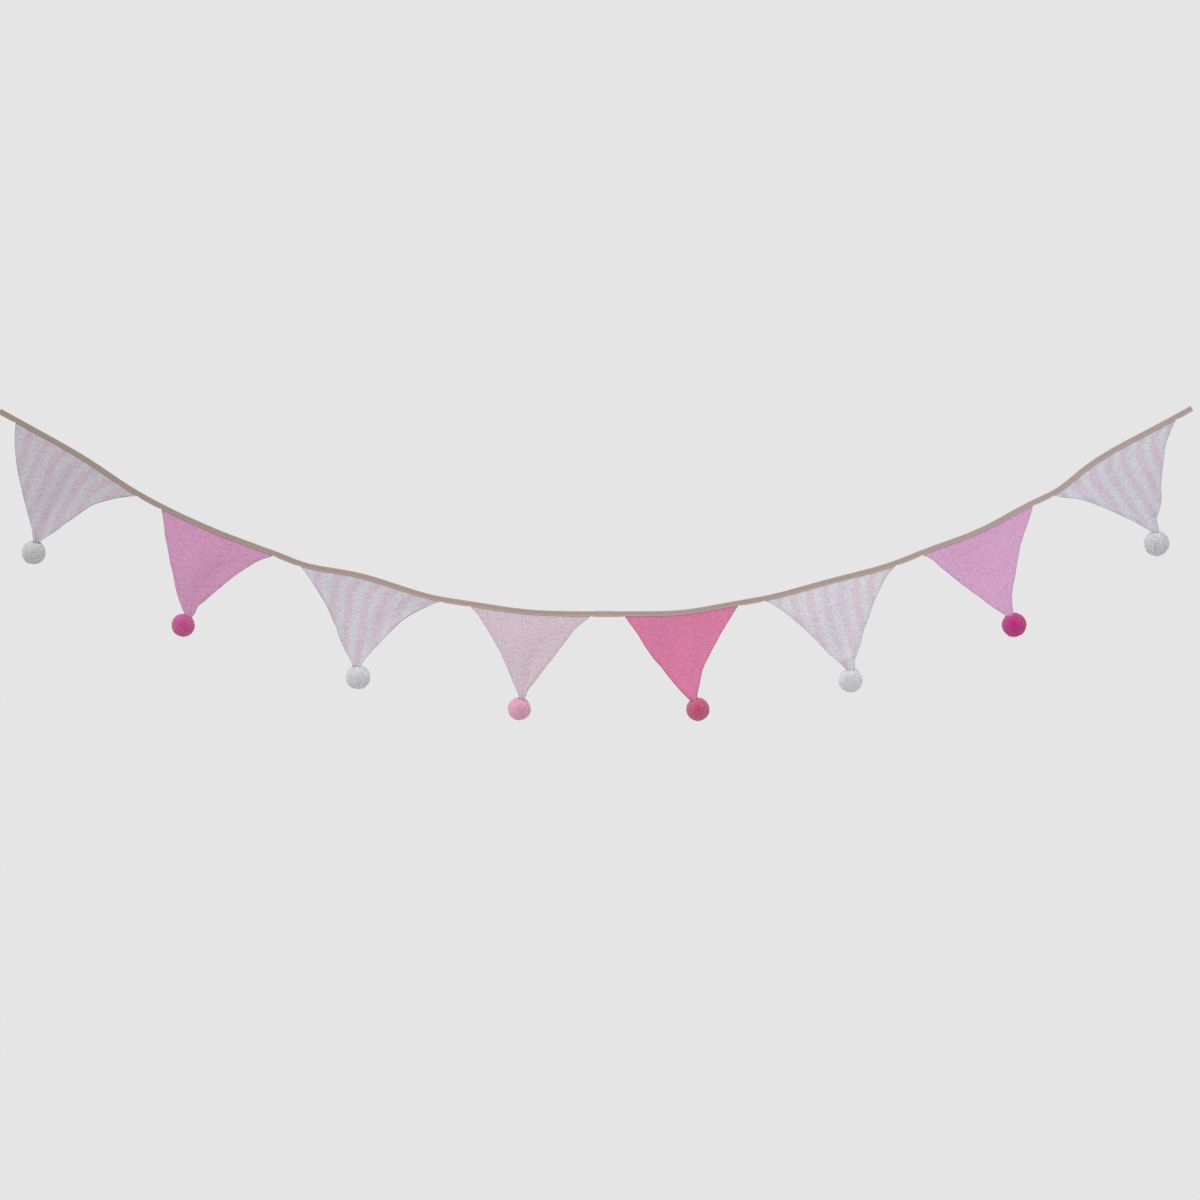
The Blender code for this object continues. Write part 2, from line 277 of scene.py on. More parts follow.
@dataclass(frozen=True)
class ClothFinish:
    """Crinkled cotton with slubs, plain or with soft stripes down the cloth."""
    slot: str
    pattern: Pattern
    ground: Colour
    stripe: Colour
    thread: float = 0.0017          # spacing of the coarse threads
    thread_run: Tuple[float, float] = (0.016, 0.012)    # length of a thick place in warp and weft
    thread_tone: float = 0.22
    thread_mean: float = 1.2        # mean of warp and weft together, which leaves the tone alone
    weft_share: float = 1.4         # how much more the weft shows than the warp
    weave_depth: float = 0.00035
    # The darker flecks and the mottle are partly the cotton's own uneven colour and partly painted
    # shade of its crinkles.
    fleck: Tuple[float, float] = (0.0070, 0.0019)
    fleck_span: Tuple[float, float] = (0.50, 0.66)      # noise at which a fleck starts and is full
    fleck_tone: float = 0.12
    slub_depth: float = 0.00060
    mottle: float = 0.0031
    mottle_flat: float = 0.8        # height of a mottle as a share of its width
    mottle_tone: float = 0.20
    drift: Tuple[float, float] = (0.016, 0.012)         # size of the slow changes of colour
    fade: Tuple[float, float] = (1.2, 0.20)             # strength of the dye: by drift, at least
    wander: Tuple[float, float] = (0.007, 0.004)        # size of a stripe's small waves
    wander_share: float = 0.22      # how far a stripe strays, as a share of the stripes' pitch
    stripe_edge: float = 0.80       # 1 gives the softest edge
    # Painted shade: the rolled edge of each hem and the line of its seam are painted darker.
    hem_edge_shade_width: float = 0.0012       # width of the painted shade on the rolled edge of a hem
    hem_edge_shade_tone: float = 0.72
    seam_at: float = 0.0040
    seam_shade_width: float = 0.0006
    seam_shade_tone: float = 0.94

    def paint(self) -> bpy.types.Material:
        """Make the material: stripes, mottle and slubs that are partly painted crinkle shade, painted
        shade on the hem's edge and seam, and the weave.

        Returns:
            The material.
        """
        paint = Paint(self.slot + "_finish", roughness=0.92, sheen=0.18, specular=0.18)
        place = paint.place("cloth")
        mottle = paint.grain(place, self.mottle, self.mottle * self.mottle_flat)
        slubs = paint.grain(place, *self.fleck, detail=3.0)
        warp = paint.grain(place, self.thread, self.thread_run[0])
        weft = paint.grain(place, self.thread_run[1], self.thread)
        colour = self.colour(paint, place)
        # Mottle and flecks: the cotton's uneven colour, partly painted crinkle shade.
        tone = paint.math("MULTIPLY_ADD", mottle, self.mottle_tone * 2, 1 - self.mottle_tone)
        fleck = paint.span(slubs, *self.fleck_span, 1.0, 1 - self.fleck_tone)
        crossed = paint.math("MULTIPLY_ADD", weft, self.weft_share, warp)
        threads = paint.math("MULTIPLY_ADD", crossed, self.thread_tone,
                             1 - self.thread_tone * self.thread_mean)
        # The hem's factor is painted shade on its rolled edge and seam.
        for factor in (fleck, threads, self.hem_shade(paint)):
            tone = paint.math("MULTIPLY", tone, factor)
        paint.relief(paint.math("ADD", warp, weft), self.weave_depth, 0.45)
        paint.relief(slubs, self.slub_depth, 0.35)
        return paint.finish(paint.shaded(colour, tone))

    def colour(self, paint: Paint, place: bpy.types.NodeSocket) -> bpy.types.NodeSocket:
        """Make the cloth's own colour, before its unevenness.

        Args:
            paint: The material that is made.
            place: The place on the cloth.

        Returns:
            The colour.
        """
        drift = paint.grain(place, *self.drift)
        if self.pattern is Pattern.PLAIN:
            return paint.blend(drift, self.ground, self.stripe)
        waves = paint.grain(place, *self.wander, 3.0)
        wander = paint.math("MULTIPLY_ADD", waves, self.wander_share * 2, -self.wander_share)
        turns = paint.math("ADD", paint.attribute("stripe"), wander)
        wave = paint.math("COSINE", paint.math("MULTIPLY", turns, 2 * math.pi))
        stripe = paint.span(wave, -self.stripe_edge, self.stripe_edge, 0.0, 1.0)
        worn = paint.math("MULTIPLY_ADD", drift, *self.fade)
        return paint.blend(paint.math("MULTIPLY", stripe, worn), self.ground, self.stripe)

    def hem_shade(self, paint: Paint) -> bpy.types.NodeSocket:
        """Paint shade on the very edge of a hem and along the line where it is sewn: painted shade
        where the hem rolls over and at its seam.

        Args:
            paint: The material that is made.

        Returns:
            The factor for the colour, which is painted shade.
        """
        edge = paint.attribute("from_edge")
        rolled_edge_shade = paint.span(edge, 0.0, self.hem_edge_shade_width, self.hem_edge_shade_tone, 1.0)
        off_seam = paint.math("ABSOLUTE", paint.math("SUBTRACT", edge, self.seam_at))
        seam = paint.span(off_seam, 0.0, self.seam_shade_width, self.seam_shade_tone, 1.0)
        return paint.math("MULTIPLY", rolled_edge_shade, seam)


@dataclass(frozen=True)
class YarnFinish:
    """Cut yarn pile: full in colour on its cut ends and deep down, where it is painted darker as
    painted shade; its sides take a painted colour: a paler, greyer painted sheen on coloured yarn, a
    darker painted rim shade on white yarn.
    """
    slot: str
    cut: Colour
    # The strand colour shows on the strands' sides: a pale grey painted sheen on coloured yarn, a
    # darker painted rim shade on white yarn.
    strand: Colour
    packed_shade_tone: float = 0.80       # how much darker the yarn is painted deep in the pile, a painted shade between the strands
    packed_to: float = 0.78         # share of a strand below which it has that painted deep shade
    painted_side_from: float = 0.90       # share from which the painted side colour shows: painted sheen on coloured yarn, painted rim shade on white yarn
    cut_from: float = 0.995         # share from which it is all cut end
    fibre: float = 0.0009
    fibre_tone: float = 0.12
    fibre_depth: float = 0.00025

    def paint(self) -> bpy.types.Material:
        """Make the material.

        Returns:
            The material.
        """
        paint = Paint(self.slot + "_finish", roughness=0.95, sheen=0.22, specular=0.10)
        fibre = paint.grain(paint.object_place(), self.fibre, self.fibre)
        reach = paint.attribute("reach")
        # Painted shade: deep in the pile the yarn is painted darker.
        packed = tuple(channel * self.packed_shade_tone for channel in self.cut)
        # The sides' colour is painted sheen on coloured yarn and painted rim shade on white yarn.
        loose = paint.span(reach, self.packed_to, self.painted_side_from, 0.0, 1.0)
        side = paint.blend(loose, packed, self.strand)
        end = paint.span(reach, self.painted_side_from, self.cut_from, 0.0, 1.0)
        colour = paint.blend(end, side, self.cut)
        tone = paint.math("MULTIPLY_ADD", fibre, self.fibre_tone * 2, 1 - self.fibre_tone)
        # The shade attribute holds each strand's own random tone and the painted shade underneath the
        # ball.
        tone = paint.math("MULTIPLY", tone, paint.attribute("shade"))
        paint.relief(fibre, self.fibre_depth, 0.5)
        return paint.finish(paint.shaded(colour, tone))


@dataclass(frozen=True)
class TapeFinish:
    """Twilled binding tape, browner towards its left end and greyer towards its right one."""
    slot: str
    left: Colour
    middle: Colour
    right: Colour
    edge: Colour                    # its lower edge, paler than the rest
    left_fades: Tuple[float, float] = (0.04, 0.46)      # shares of the length
    right_fades: Tuple[float, float] = (0.50, 0.92)
    edge_fades: Tuple[float, float] = (0.14, 0.34)      # shares of the height
    groove_shade_at: float = 0.62         # share of the height of the painted shade along the tape's middle groove, where it is painted a little darker
    groove_shade_width: float = 0.24
    groove_shade_tone: float = 0.93
    rounded_from: float = 0.80      # share of the height above which it catches the light
    fold_highlight_tone: float = 1.06
    blots: Tuple[float, float] = (0.0080, 0.0026)
    blot_tone: float = 0.13
    blot_depth: float = 0.00030
    twill: float = 0.0012
    twill_tone: float = 0.04
    twill_depth: float = 0.00020

    def paint(self) -> bpy.types.Material:
        """Make the material.

        Returns:
            The material.
        """
        paint = Paint(self.slot + "_finish", roughness=0.90, sheen=0.15, specular=0.2)
        place = paint.place("cloth")
        height, along = paint.attribute("height"), paint.attribute("along")
        from_left = paint.span(along, *self.left_fades, 0.0, 1.0)
        band = paint.blend(from_left, self.left, self.middle)
        band = paint.blend(paint.span(along, *self.right_fades, 0.0, 1.0), band, self.right)
        lower = paint.math("MULTIPLY", paint.span(height, *self.edge_fades, 1.0, 0.0), from_left)
        colour = paint.blend(lower, band, self.edge)
        # Painted shade along the groove in the middle of the tape.
        off_groove = paint.math("ABSOLUTE", paint.math("SUBTRACT", height, self.groove_shade_at))
        groove = paint.span(off_groove, 0.0, self.groove_shade_width, self.groove_shade_tone, 1.0)
        # Painted highlight along the top of the fold, where the tape catches the light.
        fold_highlight = paint.span(height, self.rounded_from, 1.0, 1.0, self.fold_highlight_tone)
        blots = paint.grain(place, *self.blots, 3.0)
        axes = paint.node("ShaderNodeSeparateXYZ")
        paint.feed(axes.inputs[0], place)
        slant = paint.math("ADD", axes.outputs[0], axes.outputs[1])
        ribs = paint.math("SINE", paint.math("MULTIPLY", slant, 2 * math.pi / self.twill))
        tone = paint.math("MULTIPLY_ADD", blots, self.blot_tone * 2, 1 - self.blot_tone)
        ribbed = paint.math("MULTIPLY_ADD", ribs, self.twill_tone, 1.0)
        # The shade attribute holds the painted highlight on the twists.
        for factor in (groove, fold_highlight, ribbed, paint.attribute("shade")):
            tone = paint.math("MULTIPLY", tone, factor)
        paint.relief(paint.math("MULTIPLY_ADD", ribs, 0.5, 0.5), self.twill_depth, 0.5)
        paint.relief(blots, self.blot_depth, 0.4)
        return paint.finish(paint.shaded(colour, tone))


@dataclass(frozen=True)
class ThreadFinish:
    """Sewing thread."""
    slot: str
    colour: Colour
    ply: float = 0.0004
    ply_tone: float = 0.85
    ply_depth: float = 0.00010

    def paint(self) -> bpy.types.Material:
        """Make the material.

        Returns:
            The material.
        """
        paint = Paint(self.slot + "_thread", roughness=0.7, sheen=0.1, specular=0.3)
        twist = paint.grain(paint.object_place(), self.ply, self.ply)
        paint.relief(twist, self.ply_depth, 0.6)
        plain = paint.blend(twist, tuple(c * self.ply_tone for c in self.colour), self.colour)
        return paint.finish(plain)


@dataclass(frozen=True)
class Hang:
    """Where one pennant hangs. Angles are in degrees below level, towards its middle."""
    left_x: float           # left corner, on the tape's lower edge
    left_z: float
    right_x: float          # right corner
    right_z: float
    tape_rise: float        # how far the tape arches (+) or sags (-) between the two corners
    rise_at: float          # where it does so most, as a share of the way from the left corner
    left_leaves: float      # angle at which the left side leaves its corner
    left_arrives: float     # angle at which it reaches the neck
    right_leaves: float
    right_arrives: float
    neck_x: float           # middle of the neck, where it enters the pile
    neck_z: float
    neck_y: float
    billow: float           # how far the cloth's middle stands back (+) or forward (-)
    ball_x: float           # centre of the pompom
    ball_z: float
    ball_diameter: float


HANGS = (
    Hang(-0.818, 0.263, -0.649, 0.161, 0.0032, 0.50, 98, 80, -3, 35,
         -0.788, 0.100, -0.0030, 0.0050, -0.793, 0.0825, 0.0338),
    Hang(-0.614, 0.142, -0.458, 0.077, -0.0030, 0.50, 78, 62, 19, 54,
         -0.575, -0.006, 0.0020, -0.0045, -0.584, -0.0195, 0.0328),
    Hang(-0.419, 0.062, -0.225, 0.013, 0.0042, 0.40, 48, 62, 16, 52,
         -0.341, -0.076, -0.0015, 0.0055, -0.339, -0.0920, 0.0348),
    Hang(-0.181, 0.006, -0.014, -0.008, -0.0045, 0.50, 48, 65, 40, 60,
         -0.108, -0.119, 0.0025, -0.0040, -0.113, -0.1365, 0.0324),
    Hang(0.035, -0.008, 0.193, 0.007, -0.0055, 0.50, 57, 44, 57, 86,
         0.131, -0.124, -0.0010, 0.0060, 0.137, -0.1373, 0.0330),
    Hang(0.232, 0.014, 0.414, 0.063, -0.0005, 0.50, 22, 38, 49, 80,
         0.351, -0.081, 0.0020, -0.0050, 0.351, -0.0966, 0.0342),
    Hang(0.452, 0.078, 0.606, 0.147, -0.0050, 0.50, 29, 29, 75, 97,
         0.573, -0.005, -0.0025, 0.0045, 0.580, -0.0190, 0.0346),
    Hang(0.637, 0.162, 0.806, 0.267, 0.0062, 0.34, 3, 32, 64, 87,
         0.777, 0.112, 0.0015, -0.0050, 0.780, 0.0951, 0.0360),
)


@dataclass(frozen=True)
class Fold:
    """One soft fold that runs down a pennant and narrows with it."""
    pennant: int            # number of the pennant, from the left
    across: float           # place of its crest, as a share of the width from the left side
    width: float            # share of the width from the crest to where it has mostly died away
    top: float              # where it starts and ends, as shares of the way down
    foot: float
    lift: float             # height of its crest to the back (+) or to the front (-)


FOLDS = (
    Fold(1, 0.30, 0.16, 0.05, 0.95, -0.0040),
    Fold(1, 0.62, 0.13, 0.10, 0.90, 0.0030),
    Fold(1, 1.00, 0.12, 0.02, 0.45, -0.0055),
    Fold(2, 0.38, 0.15, 0.08, 0.95, -0.0035),
    Fold(2, 0.74, 0.14, 0.05, 0.80, 0.0040),
    Fold(3, 0.22, 0.14, 0.05, 0.90, 0.0030),
    Fold(3, 0.52, 0.15, 0.10, 1.00, -0.0045),
    Fold(3, 0.85, 0.12, 0.02, 0.60, 0.0035),
    Fold(4, 0.33, 0.14, 0.06, 0.95, -0.0030),
    Fold(4, 0.68, 0.16, 0.10, 0.95, 0.0035),
    Fold(5, 0.27, 0.15, 0.05, 0.85, 0.0035),
    Fold(5, 0.60, 0.14, 0.12, 1.00, -0.0040),
    Fold(6, 0.20, 0.13, 0.03, 0.70, -0.0035),
    Fold(6, 0.55, 0.16, 0.10, 0.95, 0.0040),
    Fold(6, 0.50, 0.80, 0.80, 0.96, -0.0022),
    Fold(7, 0.30, 0.15, 0.06, 0.80, 0.0035),
    Fold(7, 0.66, 0.14, 0.08, 0.95, -0.0035),
    Fold(8, 0.42, 0.15, 0.08, 0.95, 0.0040),
    Fold(8, 0.72, 0.13, 0.05, 0.90, -0.0030),
    Fold(8, 0.00, 0.12, 0.02, 0.45, -0.0050),
)


@dataclass(frozen=True)
class Crease:
    """One sharper crease, a line from one place of a pennant to another, in shares of it."""
    pennant: int
    from_across: float
    from_down: float
    to_across: float
    to_down: float
    width: float            # half its width, in metres
    lift: float             # height to the back (+) or to the front (-)


CREASES = (
    Crease(1, 1.00, 0.05, 0.93, 0.42, 0.0016, 0.0012),
    Crease(1, 0.20, 0.30, 0.45, 0.36, 0.0025, 0.0008),
    Crease(2, 0.15, 0.20, 0.55, 0.28, 0.0030, -0.0008),
    Crease(2, 1.00, 0.62, 0.40, 0.70, 0.0025, 0.0009),
    Crease(3, 0.30, 0.75, 0.85, 0.68, 0.0025, -0.0008),
    Crease(3, 0.60, 0.12, 0.85, 0.20, 0.0028, 0.0008),
    Crease(4, 0.40, 0.10, 0.55, 0.14, 0.0020, 0.0010),
    Crease(4, 0.55, 0.42, 0.85, 0.46, 0.0025, -0.0008),
    Crease(5, 0.10, 0.15, 0.40, 0.12, 0.0025, 0.0008),
    Crease(5, 0.25, 0.60, 0.70, 0.66, 0.0028, -0.0009),
    Crease(6, 1.00, 0.895, 0.35, 0.915, 0.0018, 0.0014),
    Crease(6, 0.30, 0.30, 0.60, 0.26, 0.0028, -0.0008),
    Crease(7, 0.20, 0.18, 0.60, 0.14, 0.0028, 0.0008),
    Crease(7, 0.55, 0.72, 1.00, 0.66, 0.0025, -0.0009),
    Crease(8, 1.00, 0.84, 0.35, 0.88, 0.0018, 0.0013),
    Crease(8, 0.35, 0.40, 0.70, 0.34, 0.0028, 0.0008),
)


class Side(Enum):
    """The two sides of a pennant."""
    LEFT = 0
    RIGHT = 1


@dataclass(frozen=True)
class Bend:
    """One place where a side strays from its smooth curve."""
    pennant: int
    side: Side
    down: float             # place of its middle, as a share of the pennant's depth
    width: float            # share of the depth from there to where it has mostly died away
    push: float             # how far the side moves to the right (+) or to the left (-)


BENDS = (
    Bend(1, Side.RIGHT, 0.35, 0.10, -0.0026),
    Bend(1, Side.RIGHT, 0.82, 0.20, 0.0020),
    Bend(1, Side.LEFT, 0.92, 0.08, 0.0012),
    Bend(2, Side.LEFT, 0.24, 0.08, -0.0010),
    Bend(2, Side.LEFT, 0.64, 0.17, 0.0020),
    Bend(2, Side.LEFT, 0.94, 0.08, 0.0008),
    Bend(2, Side.RIGHT, 0.12, 0.12, -0.0020),
    Bend(2, Side.RIGHT, 0.53, 0.13, 0.0013),
    Bend(2, Side.RIGHT, 0.86, 0.07, -0.0030),
    Bend(3, Side.LEFT, 0.42, 0.14, 0.0022),
    Bend(3, Side.LEFT, 0.60, 0.05, 0.0022),
    Bend(3, Side.LEFT, 0.95, 0.04, 0.0009),
    Bend(3, Side.RIGHT, 0.31, 0.14, -0.0020),
    Bend(4, Side.LEFT, 0.08, 0.06, 0.0012),
    Bend(4, Side.LEFT, 0.58, 0.22, 0.0016),
    Bend(4, Side.RIGHT, 0.15, 0.09, -0.0025),
    Bend(4, Side.RIGHT, 0.50, 0.17, 0.0015),
    Bend(4, Side.RIGHT, 0.91, 0.09, -0.0028),
    Bend(5, Side.LEFT, 0.20, 0.14, 0.0017),
    Bend(5, Side.LEFT, 0.60, 0.09, 0.0013),
    Bend(5, Side.RIGHT, 0.66, 0.11, -0.0018),
    Bend(5, Side.RIGHT, 0.94, 0.06, -0.0009),
    Bend(6, Side.LEFT, 0.28, 0.12, -0.0008),
    Bend(6, Side.LEFT, 0.76, 0.12, -0.0009),
    Bend(6, Side.RIGHT, 0.08, 0.07, -0.0030),
    Bend(6, Side.RIGHT, 0.47, 0.10, 0.0023),
    Bend(6, Side.RIGHT, 0.74, 0.10, 0.0014),
    Bend(6, Side.RIGHT, 0.91, 0.06, -0.0020),
    Bend(7, Side.LEFT, 0.08, 0.07, 0.0025),
    Bend(7, Side.LEFT, 0.40, 0.15, -0.0009),
    Bend(7, Side.LEFT, 0.70, 0.06, 0.0010),
    Bend(7, Side.RIGHT, 0.31, 0.12, -0.0025),
    Bend(7, Side.RIGHT, 0.62, 0.07, 0.0010),
    Bend(7, Side.RIGHT, 0.82, 0.07, -0.0009),
    Bend(8, Side.LEFT, 0.08, 0.06, -0.0022),
    Bend(8, Side.LEFT, 0.52, 0.24, -0.0016),
    Bend(8, Side.RIGHT, 0.17, 0.11, -0.0027),
    Bend(8, Side.RIGHT, 0.71, 0.09, 0.0024),
    Bend(8, Side.RIGHT, 0.89, 0.07, -0.0044),
)


@dataclass(frozen=True)
class Stripes:
    """Where the stripes of one pennant lie, measured along its upper edge from its middle."""
    pitch: float            # from one pink stripe to the next, at the tape
    shift: float            # place of the middle pink stripe at the tape
    swing: float            # how far the stripes swing to the left just below the tape
    swing_over: float       # depth over which they do so
    narrows: float          # share by which they draw together further down
    lean: float             # how far they then lean, to the right where it is negative
    narrows_over: float = 0.030

    def turns(self, along: float, below: float) -> float:
        """Place on the cloth in stripes, counted from the middle one.

        Args:
            along: Place along the upper edge, from its middle.
            below: Distance below it.

        Returns:
            The place, a whole number at the middle of each pink stripe.
        """
        below = max(below, 0.0)
        swung = self.swing * (1 - math.exp(-below / self.swing_over)) + self.lean * below
        drawn = 1 - self.narrows * (1 - math.exp(-below / self.narrows_over))
        return ((along + swung) / drawn - self.shift) / self.pitch


STRIPES: Dict[int, Stripes] = {
    1: Stripes(0.0260, 0.0050, 0.0100, 0.010, 0.25, -0.11),
    3: Stripes(0.0275, 0.0100, 0.0110, 0.008, 0.25, -0.11),
    6: Stripes(0.0230, -0.0050, 0.0110, 0.012, 0.12, -0.04),
    8: Stripes(0.0265, -0.0090, 0.0095, 0.005, 0.25, 0.00),
}


def new_object(name: str, shape: bmesh.types.BMesh, finish: bpy.types.Material) -> bpy.types.Object:
    """Turn a bmesh into a smooth-shaded object at the origin.

    Args:
        name: Name of the piece.
        shape: Its mesh, with its place in its points. It is freed.
        finish: Its material.

    Returns:
        The new object.
    """
    mesh = bpy.data.meshes.new(name)
    shape.to_mesh(mesh)
    shape.free()
    mesh.shade_smooth()
    mesh.materials.append(finish)
    made = bpy.data.objects.new(name, mesh)
    bpy.context.scene.collection.objects.link(made)
    return made


def copies(shape: bmesh.types.BMesh, count: int) -> bmesh.types.BMLayerItem:
    """Repeat a small shape within its own mesh, by doubling it until there are enough.

    Args:
        shape: A mesh that holds the shape once, at its own origin.
        count: How many of them to end with.

    Returns:
        The layer that gives the number of the copy that each point belongs to.
    """
    number = shape.verts.layers.int.new("copy")
    made = 1
    while made < count:
        wanted = min(made, count - made)
        source = [vert for vert in shape.verts if vert[number] < wanted]
        chosen = set(source)
        edges = [edge for edge in shape.edges if edge.verts[0] in chosen]
        faces = [face for face in shape.faces if face.verts[0] in chosen]
        new = bmesh.ops.duplicate(shape, geom=source + edges + faces)["geom"]
        for element in new:
            if isinstance(element, bmesh.types.BMVert):
                element[number] += made
        made += wanted
    return number


@dataclass
class TapeRoute:
    """The tape's lower edge: a smooth line in the XZ plane through the pennants' corners."""
    hangs: Sequence[Hang]
    tape_height: float = 0.0080
    tail: float = 0.0280            # bare length past each outermost corner
    steps: int = 24                 # points between two stations
    points: List[Vector] = field(init=False, default_factory=list)
    lengths: List[float] = field(init=False, default_factory=list)
    corners: List[Tuple[float, float]] = field(init=False, default_factory=list)

    def __post_init__(self) -> None:
        """Lay the line through its stations, so that the tape's top edge passes the origin."""
        stations = self.stations()
        slopes = self.slopes(stations)
        self.points.append(stations[0])
        self.lengths.append(0.0)
        reached = [0.0]
        for start, end, leave, arrive in zip(stations, stations[1:], slopes, slopes[1:]):
            chord = (end - start).length
            for step in range(1, self.steps + 1):
                t = step / self.steps
                point = (start * (2 * t**3 - 3 * t**2 + 1) + end * (3 * t**2 - 2 * t**3)
                         + leave * chord * (t**3 - 2 * t**2 + t) + arrive * chord * (t**3 - t**2))
                self.lengths.append(self.lengths[-1] + (point - self.points[-1]).length)
                self.points.append(point)
            reached.append(self.lengths[-1])
        self.corners = [(reached[3 * i + 1], reached[3 * i + 3]) for i in range(len(self.hangs))]
        middle = min(self.points, key=lambda point: abs(point.x))
        self.drop = -(middle.z + self.tape_height)
        self.points = [point + Vector((0.0, 0.0, self.drop)) for point in self.points]

    def stations(self) -> List[Vector]:
        """Find the points that the line goes through.

        Returns:
            The left end, the corners of each pennant with the arch between them, and the right end.
        """
        stations: List[Vector] = []
        for hang in self.hangs:
            left = Vector((hang.left_x, 0.0, hang.left_z))
            right = Vector((hang.right_x, 0.0, hang.right_z))
            up = Vector((left.z - right.z, 0.0, right.x - left.x)).normalized()
            stations += [left, left.lerp(right, hang.rise_at) + up * hang.tape_rise, right]
        first = stations[0] + (stations[0] - stations[1]).normalized() * self.tail
        last = stations[-1] + (stations[-1] - stations[-2]).normalized() * self.tail
        return [first] + stations + [last]

    @staticmethod
    def slopes(stations: Sequence[Vector]) -> List[Vector]:
        """Find the directions of the line, weighted towards the nearer neighbour.

        Args:
            stations: The points that the line goes through.

        Returns:
            A unit direction for each of them.
        """
        slopes = [(stations[1] - stations[0]).normalized()]
        for before, here, after in zip(stations, stations[1:], stations[2:]):
            back, ahead = here - before, after - here
            weighted = back.normalized() / back.length + ahead.normalized() / ahead.length
            slopes.append(weighted.normalized())
        slopes.append((stations[-1] - stations[-2]).normalized())
        return slopes

    @property
    def length(self) -> float:
        """Length from end to end."""
        return self.lengths[-1]

    def at(self, length: float) -> Tuple[Vector, Vector, Vector]:
        """Find a place on the line.

        Args:
            length: Length along the line from its left end.

        Returns:
            The point, the direction there, and the upward way square to it.
        """
        length = min(max(length, 0.0), self.length)
        i = max(1, bisect_left(self.lengths, length))
        share = (length - self.lengths[i - 1]) / (self.lengths[i] - self.lengths[i - 1])
        point = self.points[i - 1].lerp(self.points[i], share)
        ahead = self.points[min(i + 1, len(self.points) - 1)] - self.points[max(i - 2, 0)]
        along = ahead.normalized()
        return point, along, Vector((-along.z, 0.0, along.x))


@dataclass
class Stitches:
    """A row of sewn stitches that lie on cloth, on one face or on both."""
    name: str
    finish: bpy.types.Material
    slot: str
    length: float = 0.0024
    width: float = 0.00042
    height: float = 0.00030

    def build(self, places: Sequence[Tuple[Vector, Vector, Vector]]) -> bpy.types.Object:
        """Lay one stitch at each place.

        Args:
            places: Middle of each stitch, its direction, and the way out of the cloth.

        Returns:
            All the stitches as one piece.
        """
        shape = bmesh.new()
        bmesh.ops.create_icosphere(shape, subdivisions=1, radius=0.5)
        number = copies(shape, len(places))
        for vert in shape.verts:
            middle, along, out = places[vert[number]]
            side = along.cross(out)
            vert.co = (middle + along * (vert.co.x * self.length) + side * (vert.co.y * self.width)
                       + out * (vert.co.z * self.height))
        made = new_object(self.name, shape, self.finish)
        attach(made, BODY)
        return made


